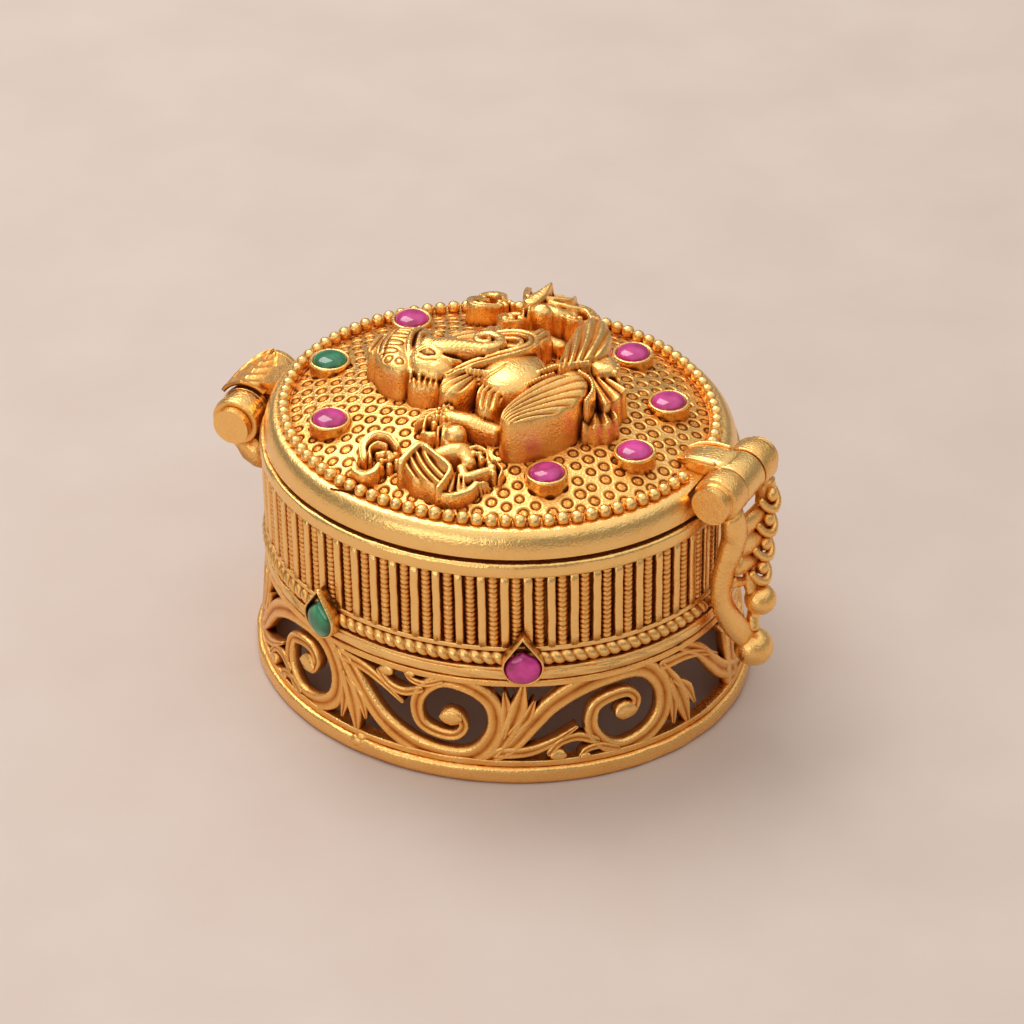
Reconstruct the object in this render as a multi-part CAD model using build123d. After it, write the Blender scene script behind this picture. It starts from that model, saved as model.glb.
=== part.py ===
"""Oval gilt sindoor box: a cup on an openwork stand, a hinged domed lid and a swinging clasp.

Frame: origin in the middle of the face that the box stands on, +Z up, +X along the oval towards
the clasp, the hinge at -X. All sizes are in millimetres.
"""
from build123d import *
from functools import lru_cache
import math
import os

os.makedirs("parts", exist_ok=True)

# The lid's plan oval. Every other oval is this one moved out by its own outset.
LID_HALF_LENGTH = 25.0
LID_HALF_WIDTH = 22.1

# Heights of the rings, from the table up
BASE_RING_HEIGHT = 1.9
GALLERY_HEIGHT = 10.3
MOULDING_HEIGHT = 1.7
ROPE_HEIGHT = 1.9
LOWER_RAIL_HEIGHT = 0.5
SLOT_HEIGHT = 8.6
RIM_HEIGHT = 1.55
LID_GAP = 0.4

# Outsets of the outer faces
BASE_RING_OUTSET = 2.05
GALLERY_FOOT_OUTSET = 1.55
GALLERY_TOP_OUTSET = 0.55
MOULDING_OUTSET = 0.6
ROPE_OUTSET = 0.8
BAR_OUTSET = 0.4
RIM_OUTSET = 0.5

# Walls
BASE_RING_WALL = 2.3
GALLERY_WALL = 1.3
BAR_WALL = 1.1
CUP_WALL = 0.8
CUP_FLOOR = 1.0
CUP_MOUTH_DROP = 0.3
SOLDER_GAP = 0.02

# Bars, and the milled wires that stand in the slots between them
WIRE_COUNT = 64
SLOT_WIDTH = 1.5
WIRE_RADIUS = 0.5
WIRE_END_GAP = 0.05

# Openwork gallery: four scrolls on each long side
SCROLLS_PER_SIDE = 4
SCROLL_PITCH = 18.0
SCROLL_SHIFT = -4.9
SCROLL_EYE = (0.2, 0.4)
SCROLL_RADIUS = 4.0
SCROLL_INNER_RADIUS = 1.8
SPIRAL_STEPS = 7
STEM_WIDTH = 1.9
CURL_RADIUS = 0.8
GALLERY_RAIL = 0.7
GALLERY_REACH = 1.7
END_POST_WIDTH = 3.0

# Drop-shaped settings on the long sides
DROP_SPACING = 22.7
DROP_RADIUS = 2.15
DROP_TIP = 3.9
DROP_HEIGHT = 14.6
DROP_COLLAR_WALL = 0.35
DROP_COLLAR_DEPTH = 1.1
DROP_STONE_DROP = 0.55
DROP_STONE_DEPTH = 0.9
STONE_GAP = 0.03

# Lid
LID_EDGE_HEIGHT = 0.3
BEVEL_WIDTH = 1.45
BEVEL_HEIGHT = 2.5
BEVEL_STEPS = 4
BEAD_LEDGE = 1.5
DOME_SEAT = 0.65
DOME_RISE = 3.85
DOME_WALL = 0.9
LIP_DEPTH = 1.1
LIP_WALL = 0.9
LIP_CLEARANCE = 0.45
FLANGE_THICKNESS = 0.9

# Beaded border
BEAD_COUNT = 94
BEAD_RADIUS = 0.7

# Round cabochons on the lid: where they stand, half of each pair
STONE_RADIUS = 1.75
COLLAR_WALL = 0.4
COLLAR_HEIGHT = 1.1
STONE_CROWN = 0.75
STONE_SINK = 0.15
GREEN_STONE_INSET = 2.85
PAIR_SHARES = [(-0.653, 0.543), (0.463, 0.627), (0.766, 0.256)]

# Hinge
HINGE_REACH = 3.0
HINGE_Z = 25.0
HINGE_HALF_LENGTH = 5.6
HINGE_KNUCKLE_RADIUS = 2.65
HINGE_TAB_RADIUS = 2.45
HINGE_TAB_HALF_WIDTH = 1.85
KNUCKLE_SIDE_GAP = 0.15
PIN_RADIUS = 1.1
PIN_CLEARANCE = 0.06
PIN_HEAD_RADIUS = 2.0
PIN_HEAD_LENGTH = 0.9
BRACKET_FOOT_Z = 19.6
MOVING_GAP = 0.35
LEAF_THICKNESS = 0.7
LEAF_HALF_WIDTH = 3.6
LEAF_LENGTH = 7.0

# Clasp, laid out round its pin and turned a little, as the box has it
CLASP_REACH = 1.7
CLASP_Y = -1.75
CLASP_Z = 29.0
CLASP_SKEW = 8.0
CLASP_HALF_LENGTH = 4.9
CLASP_KNUCKLE_RADIUS = 2.5
CLASP_TAB_RADIUS = 2.4
CLASP_TAB_HALF_WIDTH = 1.8
CLASP_STRAP_LENGTH = 7.4
CLASP_STRAP_FALL = 0.5
LEVER_BEND_Z = 15.2
LEVER_WALL_GAP = 0.35
LEVER_THICKNESS = 2.3
LEVER_TOP_HALF_WIDTH = 4.9
LEVER_BEND_HALF_WIDTH = 1.9
FORK_DEPTH = 5.2
FINIAL_RADIUS = 2.1
FINIAL_OUT = 2.5
FINIAL_Z = 8.9
FINGER_BALL_RADIUS = 1.7
FINGER_BALL_OUT = 3.1
FINGER_BALL_Z = 15.2
CLASP_LEAF_RADIUS = 1.3

# Relief on the lid: how far each form stands above the top of the dome, and its plan
TRUNK_RISE = 4.9
TRUNK_RADIUS = 0.85
KNEE_RISE = 3.5
KNEE_EDGE = 0.6
KNEE_CREST = 0.75
HEAD_RISE = 3.9
BELLY_RISE = 4.0
CROWN_RISE = 2.6
ARM_RISE = 2.4
FOOT_RISE = 2.7
PLEAT_RISE = 1.6
NEAR_KNEE = [(5.3, -11.0), (5.1, -5.8), (8.2, -0.7), (10.9, -4.2), (8.7, -9.6)]
FAR_KNEE = [(6.7, 0.3), (6.4, 6.0), (8.0, 9.9), (10.4, 5.4), (8.2, -0.3)]
ATTENDANT_RISE = 0.0
ATTENDANT_HEAD_RISE = 1.3

# Levels and outsets that follow
GALLERY_Z = BASE_RING_HEIGHT
MOULDING_Z = GALLERY_Z + GALLERY_HEIGHT
ROPE_Z = MOULDING_Z + MOULDING_HEIGHT
RAIL_Z = ROPE_Z + ROPE_HEIGHT
SLOT_Z = RAIL_Z + LOWER_RAIL_HEIGHT
RIM_Z = SLOT_Z + SLOT_HEIGHT
MOUTH_Z = RIM_Z + RIM_HEIGHT
LID_Z = MOUTH_Z + LID_GAP
LEDGE_Z = LID_Z + LID_EDGE_HEIGHT + BEVEL_HEIGHT
CUP_OUTSET = BAR_OUTSET - BAR_WALL - SOLDER_GAP
CUP_INSIDE = CUP_OUTSET - CUP_WALL
LIP_OUTSET = CUP_INSIDE - LIP_CLEARANCE
BEAD_OUTSET = -BEVEL_WIDTH - BEAD_LEDGE / 2
DOME_OUTSET = -BEVEL_WIDTH - BEAD_LEDGE
FLANGE_OUTSET = DOME_OUTSET - DOME_SEAT
HINGE_X = -LID_HALF_LENGTH - HINGE_REACH
CLASP_X = LID_HALF_LENGTH + CLASP_REACH
DOME_HALF_LENGTH = LID_HALF_LENGTH + DOME_OUTSET
DOME_HALF_WIDTH = LID_HALF_WIDTH + DOME_OUTSET
DOME_TOP = LEDGE_Z + DOME_RISE
CLASP_FRAME = Pos(CLASP_X, CLASP_Y, CLASP_Z) * Rot(0, 0, -CLASP_SKEW)


def oval(outset):
    return Ellipse(LID_HALF_LENGTH + outset, LID_HALF_WIDTH + outset)


def oval_block(outset, low, high):
    return extrude(Pos(0, 0, low) * oval(outset), high - low)


def oval_tube(outset, wall, low, high):
    return oval_block(outset, low, high) - oval_block(outset - wall, low - 1, high + 1)


def oval_cone(low_outset, high_outset, low, high):
    return loft([Pos(0, 0, low) * oval(low_outset), Pos(0, 0, high) * oval(high_outset)])


@lru_cache(maxsize=None)
def oval_stations(outset, count, start=0.0):
    """Angles round an oval of equal steps along its length, start as a share of one step."""
    long, wide = LID_HALF_LENGTH + outset, LID_HALF_WIDTH + outset
    steps = 3600
    lengths = [0.0]
    for i in range(steps):
        angle = 2 * math.pi * (i + 0.5) / steps
        lengths.append(lengths[-1] + math.hypot(long * math.sin(angle), wide * math.cos(angle)))
    angles = []
    reached = 0
    for k in range(count):
        wanted = lengths[-1] * ((k + start) % count) / count
        if wanted < lengths[reached]:
            reached = 0
        while lengths[reached + 1] < wanted:
            reached += 1
        part = (wanted - lengths[reached]) / (lengths[reached + 1] - lengths[reached])
        angles.append(2 * math.pi * (reached + part) / steps)
    return angles


def oval_length(outset):
    long, wide = LID_HALF_LENGTH + outset, LID_HALF_WIDTH + outset
    h = ((long - wide) / (long + wide)) ** 2
    return math.pi * (long + wide) * (1 + 3 * h / (10 + math.sqrt(4 - 3 * h)))


def wall_plane(outset, angle, height):
    """A plane on the oval's side, its X along the wall, its Y up and its Z out of the wall."""
    long, wide = LID_HALF_LENGTH + outset, LID_HALF_WIDTH + outset
    place = Vector(long * math.cos(angle), wide * math.sin(angle), height)
    outward = Vector(math.cos(angle) / long, math.sin(angle) / wide, 0).normalized()
    along = Vector(-outward.Y, outward.X, 0)
    return Plane(origin=place, x_dir=along, z_dir=outward)


def side_angle(distance, outset, side):
    """The angle on the oval at a distance along the wall from the middle of one long side."""
    count = 720
    stations = oval_stations(outset, count)
    step = oval_length(outset) / count
    middle = 3 * count // 4 if side < 0 else count // 4
    place = distance / step
    low = math.floor(place)
    first = stations[(middle + low) % count]
    second = stations[(middle + low + 1) % count]
    if second < first:
        second += 2 * math.pi
    return first + (place - low) * (second - first)


@lru_cache(maxsize=None)
def dome_block(extra):
    """The lid's domed field as a solid, grown all round by a small amount."""
    long = LID_HALF_LENGTH + DOME_OUTSET + extra
    wide = LID_HALF_WIDTH + DOME_OUTSET + extra
    rise = DOME_RISE + extra
    radius = (long ** 2 + rise ** 2) / (2 * rise)
    ball = Pos(0, 0, rise - radius) * Rot(0, 0, 90) * Sphere(radius)
    cap = ball & Pos(0, 0, rise) * Box(4 * long, 4 * long, 2 * rise)
    return Pos(0, 0, LEDGE_Z) * scale(cap, by=(1, wide / long, 1))


def dome_height(x, y):
    long, wide = LID_HALF_LENGTH + DOME_OUTSET, LID_HALF_WIDTH + DOME_OUTSET
    radius = (long ** 2 + DOME_RISE ** 2) / (2 * DOME_RISE)
    across = min(x ** 2 + (y * long / wide) ** 2, long ** 2)
    return LEDGE_Z + DOME_RISE - radius + math.sqrt(radius ** 2 - across)


def ellipsoid(x, y, z, half_x, half_y, half_z, turn=0.0):
    return Pos(x, y, z) * Rot(0, 0, turn) * scale(Sphere(1), by=(half_x, half_y, half_z))


def knuckle(radius, low, high):
    """A round barrel along Y between two distances."""
    return Pos(0, (low + high) / 2, 0) * Rot(90, 0, 0) * Cylinder(radius, high - low)


# Stand


def base_ring():
    ring = oval_tube(BASE_RING_OUTSET, BASE_RING_WALL, 0, BASE_RING_HEIGHT)
    top_edge = ring.edges().group_by(Axis.Z)[-1].sort_by(SortBy.LENGTH)[-1]
    return fillet(top_edge, 0.4)


def stroke(points, widths):
    """A flat tapering band along a curve through points."""
    left, right = [], []
    for i, (x, y) in enumerate(points):
        before = points[max(i - 1, 0)]
        after = points[min(i + 1, len(points) - 1)]
        length = math.hypot(after[0] - before[0], after[1] - before[1])
        across = (-(after[1] - before[1]) / length, (after[0] - before[0]) / length)
        left.append((x + across[0] * widths[i] / 2, y + across[1] * widths[i] / 2))
        right.append((x - across[0] * widths[i] / 2, y - across[1] * widths[i] / 2))
    right.reverse()
    outline = [Spline(*left), Line(left[-1], right[0]), Spline(*right), Line(right[-1], left[0])]
    return make_face(Wire(outline))


def winding(x, y, first_radius, last_radius, first, last):
    """Points on a spiral round a centre between two angles in degrees."""
    points = []
    for i in range(SPIRAL_STEPS + 1):
        share = i / SPIRAL_STEPS
        radius = first_radius + (last_radius - first_radius) * share
        angle = math.radians(first + (last - first) * share)
        points.append((x + radius * math.cos(angle), y + radius * math.sin(angle)))
    return points


def band_widths(first, last, count):
    return [first + (last - first) * i / (count - 1) for i in range(count)]


def vine_unit():
    """One scroll of the gallery with its leaf and small curls, flat, eye near the middle."""
    x, y = SCROLL_EYE
    stem = [(-15.2, -4.6), (-12.2, -3.0), (-9.6, 0.0), (-6.6, 3.1), (-3.2, 4.6), (x, y + SCROLL_RADIUS)]
    unit = stroke(stem, [STEM_WIDTH * share for share in (0.65, 0.8, 0.95, 1.1, 1.1, 0.95)])
    turn = winding(x, y, SCROLL_RADIUS, SCROLL_RADIUS * 0.88, 100, -190)
    unit += stroke(turn, band_widths(STEM_WIDTH, STEM_WIDTH * 0.65, len(turn)))
    turn = winding(x, y, SCROLL_RADIUS * 0.88, SCROLL_INNER_RADIUS, -180, -380)
    unit += stroke(turn, band_widths(STEM_WIDTH * 0.65, STEM_WIDTH * 0.5, len(turn)))
    unit += Pos(x + 0.3, y - 0.5) * Circle(CURL_RADIUS)
    unit += stroke([(x + 0.2, y - 0.6), (x + 1.2, y - 0.2), (x + 1.8, y + 0.6)], [0.8, 0.8, 0.9])
    unit += stroke([(4.4, 2.6), (6.4, 1.0), (7.2, -1.8), (7.4, -5.0)], [1.0, 2.2, 2.0, 0.6])
    unit += stroke([(2.6, 4.4), (6.0, 4.0), (9.4, 2.7), (12.0, 1.0)], [1.2, 1.3, 1.1, 0.5])
    unit += stroke([(-2.8, -2.6), (-4.6, -2.1), (-6.5, -2.6), (-7.8, -3.8)], [1.1, 1.0, 0.9, 0.8])
    unit += Pos(-7.5, -4.0) * Circle(CURL_RADIUS)
    unit += stroke([(-0.8, -3.4), (-3.0, -4.2), (-5.2, -4.6)], [1.0, 0.9, 0.9])
    return unit


def scroll_gallery():
    """The cast openwork stand: flat scrolls laid on the flaring oval, between two rails."""
    outer = oval_cone(GALLERY_FOOT_OUTSET, GALLERY_TOP_OUTSET, GALLERY_Z, MOULDING_Z)
    inner = oval_cone(GALLERY_FOOT_OUTSET - GALLERY_WALL, GALLERY_TOP_OUTSET - GALLERY_WALL,
                      GALLERY_Z, MOULDING_Z)
    behind = GALLERY_TOP_OUTSET - GALLERY_WALL - GALLERY_REACH
    middle = GALLERY_Z + GALLERY_HEIGHT / 2
    unit = vine_unit()
    flipped = mirror(unit, Plane.XZ)
    clip = Rectangle(2 * SCROLL_PITCH, GALLERY_HEIGHT)
    depth = GALLERY_WALL + 4 * GALLERY_REACH
    pattern = []
    for side in (-1, 1):
        for k in range(SCROLLS_PER_SIDE):
            distance = SCROLL_SHIFT + SCROLL_PITCH * (k - (SCROLLS_PER_SIDE - 1) / 2)
            angle = side_angle(distance, GALLERY_TOP_OUTSET, side)
            flat = (flipped if k % 2 == 0 else unit) & clip
            pattern.append(extrude(wall_plane(behind, angle, middle) * flat, depth))
    for angle in (0, math.pi):
        post = Rectangle(END_POST_WIDTH, GALLERY_HEIGHT + 1)
        pattern.append(extrude(wall_plane(behind, angle, middle) * post, depth))
    width = 2 * (GALLERY_WALL + GALLERY_REACH)
    around = GALLERY_FOOT_OUTSET + GALLERY_REACH
    pattern.append(oval_tube(around, width, GALLERY_Z - 1, GALLERY_Z + GALLERY_RAIL))
    pattern.append(oval_tube(around, width, MOULDING_Z - GALLERY_RAIL, MOULDING_Z + 1))
    cutter = pattern[0] + pattern[1:]
    return (outer - inner) & cutter


# Cup


def moulding_ring():
    ring = oval_tube(MOULDING_OUTSET, MOULDING_OUTSET - CUP_OUTSET - SOLDER_GAP, MOULDING_Z, ROPE_Z)
    outer = ring.edges().sort_by(SortBy.LENGTH)[-2:]
    return fillet(outer, MOULDING_HEIGHT * 0.35)


def rope_border():
    radius = ROPE_HEIGHT / 2 - SOLDER_GAP
    middle = ROPE_OUTSET - radius
    long, wide = LID_HALF_LENGTH + middle, LID_HALF_WIDTH + middle
    ring = scale(Torus(long, radius), by=(1, wide / long, 1))
    inside = oval_block(CUP_OUTSET + SOLDER_GAP, -5, 5)
    return Pos(0, 0, ROPE_Z + ROPE_HEIGHT / 2) * (ring - inside)


def hinge_notch():
    """Room in the cup's edge for the lid's barrel."""
    barrel = knuckle(HINGE_TAB_RADIUS + MOVING_GAP, -HINGE_TAB_HALF_WIDTH - MOVING_GAP,
                     HINGE_TAB_HALF_WIDTH + MOVING_GAP)
    return Pos(HINGE_X, 0, HINGE_Z) * barrel


def bar_band():
    """The pierced strip: upright flat bars between a lower rail and the plain rim."""
    wall = BAR_WALL
    band = oval_tube(BAR_OUTSET, wall, RAIL_Z, RIM_Z)
    band += oval_tube(RIM_OUTSET, wall + RIM_OUTSET - BAR_OUTSET, RIM_Z, MOUTH_Z)
    slots = []
    for angle in oval_stations(BAR_OUTSET, WIRE_COUNT, 0.5):
        place = wall_plane(BAR_OUTSET, angle, SLOT_Z + SLOT_HEIGHT / 2)
        slots.append(place * Box(SLOT_WIDTH, SLOT_HEIGHT, 4 * wall))
    return band - slots - hinge_notch()


def milled_wires():
    wires = []
    height = SLOT_HEIGHT - 2 * WIRE_END_GAP
    for angle in oval_stations(BAR_OUTSET, WIRE_COUNT, 0.5):
        inward = BAR_WALL - WIRE_RADIUS - SOLDER_GAP
        place = wall_plane(BAR_OUTSET - inward, angle, SLOT_Z + SLOT_HEIGHT / 2)
        wire = Location(place) * Rot(90, 0, 0) * Cylinder(WIRE_RADIUS, height)
        middle = wire.center()
        if abs(middle.Y) < HINGE_TAB_HALF_WIDTH + 2 * MOVING_GAP and middle.X < 0:
            wire -= hinge_notch()
        wires.append(wire)
    return Compound(children=wires)


def cup_wall():
    return oval_tube(CUP_OUTSET, CUP_WALL, MOULDING_Z, MOUTH_Z - CUP_MOUTH_DROP)


def cup_floor():
    return oval_block(CUP_INSIDE - SOLDER_GAP, MOULDING_Z, MOULDING_Z + CUP_FLOOR)


def drop_outline(radius, tip):
    half = math.acos(radius / tip)
    right = (radius * math.cos(math.pi / 2 - half), radius * math.sin(math.pi / 2 - half))
    left = (-right[0], right[1])
    bowl = ThreePointArc(left, (0, -radius), right)
    return make_face(Wire([bowl, Line(right, (0, tip)), Line((0, tip), left)]))


def drop_places():
    """Plane and colour of each drop: the left one on the near side and its opposite are green."""
    places = []
    for side in (-1, 1):
        for end, colour in ((-1, "green"), (1, "pink")):
            angle = side_angle(end * DROP_SPACING / 2, BAR_OUTSET, side)
            places.append((wall_plane(ROPE_OUTSET, angle, DROP_HEIGHT), colour))
    return places


def drop_collars():
    collars = []
    back = oval_block(ROPE_OUTSET + SOLDER_GAP, 0, LEDGE_Z)
    for plane, _ in drop_places():
        outer = drop_outline(DROP_RADIUS, DROP_TIP)
        inner = drop_outline(DROP_RADIUS - DROP_COLLAR_WALL, DROP_TIP - 2 * DROP_COLLAR_WALL)
        collar = extrude(plane * (outer - inner), 2 * DROP_COLLAR_DEPTH, both=True)
        front = plane * Pos(0, 0, DROP_COLLAR_DEPTH + 5) * Box(20, 20, 10)
        collars.append(collar - back - front)
    return Compound(children=collars)


def drop_stones(colour):
    stones = []
    back = oval_block(ROPE_OUTSET + SOLDER_GAP, 0, LEDGE_Z)
    inset = DROP_COLLAR_WALL + STONE_GAP
    for plane, stone_colour in drop_places():
        if stone_colour != colour:
            continue
        outline = drop_outline(DROP_RADIUS - inset, DROP_TIP - 2 * inset - DROP_STONE_DROP)
        stone = extrude(plane * outline, 2 * DROP_STONE_DEPTH, both=True)
        dome = plane * scale(Sphere(1), by=(DROP_RADIUS * 1.25, DROP_TIP * 1.2, DROP_STONE_DEPTH + 0.5))
        stones.append((stone & dome) - back)
    return Compound(children=stones)


# Hinge


def hinge_bracket():
    """Two barrels on a foot that lies on the bars."""
    inner_end = HINGE_TAB_HALF_WIDTH + KNUCKLE_SIDE_GAP
    reach = -HINGE_X - LID_HALF_LENGTH
    foot = BRACKET_FOOT_Z - HINGE_Z
    fin = make_face(Polyline((-HINGE_KNUCKLE_RADIUS * 0.9, -0.6), (0, HINGE_KNUCKLE_RADIUS * 0.6),
                             (reach + 1, HINGE_KNUCKLE_RADIUS * 0.3), (reach + 1, foot),
                             (reach - 1.2, foot), (-HINGE_KNUCKLE_RADIUS * 0.5, -HINGE_KNUCKLE_RADIUS * 0.7),
                             close=True))
    side = extrude(Plane.XZ * fin, HINGE_HALF_LENGTH, both=True)
    barrels = knuckle(HINGE_KNUCKLE_RADIUS, -HINGE_HALF_LENGTH, HINGE_HALF_LENGTH)
    body = barrels + side
    room = knuckle(HINGE_TAB_RADIUS + MOVING_GAP, -inner_end, inner_end)
    room += Pos(0, 0, 5) * Box(40, 2 * inner_end, 10)
    room += Pos(-5, 0, -5) * Box(10, 2 * inner_end, 20)
    bore = knuckle(PIN_RADIUS + PIN_CLEARANCE, -HINGE_HALF_LENGTH - 1, HINGE_HALF_LENGTH + 1)
    body = Pos(HINGE_X, 0, HINGE_Z) * (body - room - bore)
    return body - oval_block(RIM_OUTSET + SOLDER_GAP, 0, MOUTH_Z + LEDGE_Z)


def rivet(half_length):
    """A pin with a flat head outside each end barrel."""
    shaft = knuckle(PIN_RADIUS, -half_length - PIN_CLEARANCE, half_length + PIN_CLEARANCE)
    near = knuckle(PIN_HEAD_RADIUS, -half_length - PIN_CLEARANCE - PIN_HEAD_LENGTH,
                   -half_length - PIN_CLEARANCE)
    far = knuckle(PIN_HEAD_RADIUS, half_length + PIN_CLEARANCE,
                  half_length + PIN_CLEARANCE + PIN_HEAD_LENGTH / 2)
    return shaft + near + far


def hinge_pin():
    return Pos(HINGE_X, 0, HINGE_Z) * rivet(HINGE_HALF_LENGTH)


@lru_cache(maxsize=None)
def lid_envelope():
    """The lid's rim and dome, grown by the solder gap, for cutting what is soldered on them."""
    rim = oval_block(SOLDER_GAP, LID_Z, LID_Z + LID_EDGE_HEIGHT) + bevel_block(SOLDER_GAP)
    return rim + dome_block(SOLDER_GAP)


@lru_cache(maxsize=None)
def hinge_tab():
    """The lid's barrel and the strap that carries it from the bevel."""
    low = LID_Z + 0.05 - HINGE_Z
    strap = make_face(Polyline((-0.6, 0.4), (-0.4, HINGE_TAB_RADIUS), (6.4, 4.6), (6.4, low),
                               (2.0, low), close=True))
    body = knuckle(HINGE_TAB_RADIUS, -HINGE_TAB_HALF_WIDTH, HINGE_TAB_HALF_WIDTH)
    body += extrude(Plane.XZ * strap, HINGE_TAB_HALF_WIDTH, both=True)
    body -= knuckle(PIN_RADIUS + PIN_CLEARANCE, -HINGE_HALF_LENGTH, HINGE_HALF_LENGTH)
    body = Pos(HINGE_X, 0, HINGE_Z) * body
    return body - lid_envelope() - bead_channel()


def bead_channel():
    """The space that the beaded border takes up on its ledge."""
    return oval_tube(-BEVEL_WIDTH + SOLDER_GAP, BEAD_LEDGE, LEDGE_Z - 1, LEDGE_Z + 3)


def hinge_leaf():
    """A curved leaf over the hinge, carried by the strap."""
    inner = HINGE_KNUCKLE_RADIUS + MOVING_GAP
    shell = knuckle(inner + LEAF_THICKNESS, -LEAF_HALF_WIDTH, LEAF_HALF_WIDTH)
    shell -= knuckle(inner, -LEAF_HALF_WIDTH - 1, LEAF_HALF_WIDTH + 1)
    half = LEAF_LENGTH / 2
    outline = make_face(Wire([ThreePointArc((-half, 0), (0, LEAF_HALF_WIDTH), (half, 0)),
                              ThreePointArc((half, 0), (0, -LEAF_HALF_WIDTH), (-half, 0))]))
    leaf = shell & Pos(0.6, 0, LID_Z + SOLDER_GAP - HINGE_Z) * extrude(outline, 10)
    return Pos(HINGE_X, 0, HINGE_Z) * leaf - hinge_tab() - lid_envelope()


# Lid


@lru_cache(maxsize=None)
def bevel_block(extra):
    """The solid inside the rounded bevel, from the lid's edge up to the bead ledge."""
    sections = []
    low = LID_Z + LID_EDGE_HEIGHT
    for i in range(BEVEL_STEPS + 1):
        turn = math.pi / 2 * i / BEVEL_STEPS
        outset = extra - BEVEL_WIDTH * (1 - math.cos(turn))
        sections.append(Pos(0, 0, low + BEVEL_HEIGHT * math.sin(turn)) * oval(outset))
    return loft(sections)


def clasp_relief():
    """Room cut in the lid's edge for the clasp's barrels."""
    return CLASP_FRAME * knuckle(CLASP_KNUCKLE_RADIUS + MOVING_GAP, -CLASP_HALF_LENGTH - MOVING_GAP,
                                 CLASP_HALF_LENGTH + MOVING_GAP)


def lid_rim():
    """The smooth bevelled ring, its ledge for the beads and its thin inner flange."""
    body = oval_block(0, LID_Z, LID_Z + LID_EDGE_HEIGHT) + bevel_block(0)
    flange_low = LEDGE_Z - FLANGE_THICKNESS
    body -= oval_block(FLANGE_OUTSET, LID_Z - 1, LEDGE_Z + 1)
    body -= oval_block(DOME_OUTSET, LID_Z - 1, flange_low)
    return body - clasp_relief()


def lid_lip():
    """The locating band that drops inside the cup's mouth."""
    band = oval_tube(LIP_OUTSET, LIP_WALL, LID_Z - LIP_DEPTH, LID_Z)
    low_edge = band.edges().group_by(Axis.Z)[0].sort_by(SortBy.LENGTH)[-1]
    return chamfer(low_edge, LIP_WALL * 0.4)


def lid_dome():
    """The punched field: a thin domed plate seated on the flange."""
    shrink = Pos(0, 0, -DOME_WALL) * dome_block(0)
    plate = dome_block(0) - shrink
    return plate - oval_block(FLANGE_OUTSET - DOME_SEAT / 2, LEDGE_Z - 5, LEDGE_Z)


def bead_border():
    """Round beads side by side on the ledge, left out where the clasp's strap crosses it."""
    beads = []
    height = LEDGE_Z + SOLDER_GAP + BEAD_RADIUS * 0.55
    floor = Pos(0, 0, LEDGE_Z + SOLDER_GAP - 5) * Box(80, 80, 10)
    long, wide = LID_HALF_LENGTH + BEAD_OUTSET, LID_HALF_WIDTH + BEAD_OUTSET
    for angle in oval_stations(BEAD_OUTSET, BEAD_COUNT, 0.5):
        x, y = long * math.cos(angle), wide * math.sin(angle)
        if x > 0 and abs(y - CLASP_Y) < CLASP_TAB_HALF_WIDTH + BEAD_RADIUS + MOVING_GAP:
            continue
        beads.append(Pos(x, y, height) * Sphere(BEAD_RADIUS) - floor)
    return Compound(children=beads)


def stone_places():
    places = [(GREEN_STONE_INSET - DOME_HALF_LENGTH, 0.0, "green")]
    for long_share, wide_share in PAIR_SHARES:
        x, y = long_share * DOME_HALF_LENGTH, wide_share * DOME_HALF_WIDTH
        places.append((x, y, "pink"))
        places.append((x, -y, "pink"))
    return places


def stone_collars():
    collars = []
    floor = dome_block(SOLDER_GAP)
    for x, y, _ in stone_places():
        height = dome_height(x, y) + COLLAR_HEIGHT - LEDGE_Z
        radius = STONE_RADIUS + COLLAR_WALL + STONE_GAP
        ring = Cylinder(radius, height) - Cylinder(STONE_RADIUS + STONE_GAP, height + 1)
        collars.append(Pos(x, y, LEDGE_Z + height / 2) * ring - floor)
    return Compound(children=collars)


def lid_stones(colour):
    stones = []
    floor = dome_block(2 * SOLDER_GAP)
    for x, y, stone_colour in stone_places():
        if stone_colour != colour:
            continue
        girdle = dome_height(x, y) + COLLAR_HEIGHT - STONE_SINK
        depth = girdle - LEDGE_Z
        crown = scale(Sphere(1), by=(STONE_RADIUS, STONE_RADIUS, STONE_CROWN))
        stone = Pos(0, 0, -depth / 2) * Cylinder(STONE_RADIUS, depth) + crown
        stones.append(Pos(x, y, girdle) * stone - floor)
    return Compound(children=stones)


# Relief cast on the lid: the seated elephant-headed figure, its head towards the hinge


def trunk():
    """The trunk: a round bar that runs from the face and curls at its end."""
    low, high = DOME_TOP + TRUNK_RISE - 2 * TRUNK_RADIUS, DOME_TOP + TRUNK_RISE - TRUNK_RADIUS
    path = FilletPolyline((-6.6, 0.1, low), (-4.2, 0.3, high), (-0.6, 0.1, high), (-0.4, 2.4, high),
                          (-2.8, 2.2, high), radius=TRUNK_RADIUS)
    start = Plane(origin=path @ 0, z_dir=path % 0)
    return sweep(start * Circle(TRUNK_RADIUS), path=path)


def upright(outline, rise):
    """A piece of the relief with upright sides, from inside the dome to its own height over it."""
    return extrude(Pos(0, 0, LEDGE_Z) * outline, DOME_RISE + rise)


def swelling(x, y, rise, half_x, half_y, half_z, turn=0.0):
    """A rounded mass of the relief whose top stands at its own height over the dome."""
    return ellipsoid(x, y, DOME_TOP + rise - half_z, half_x, half_y, half_z, turn)


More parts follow.
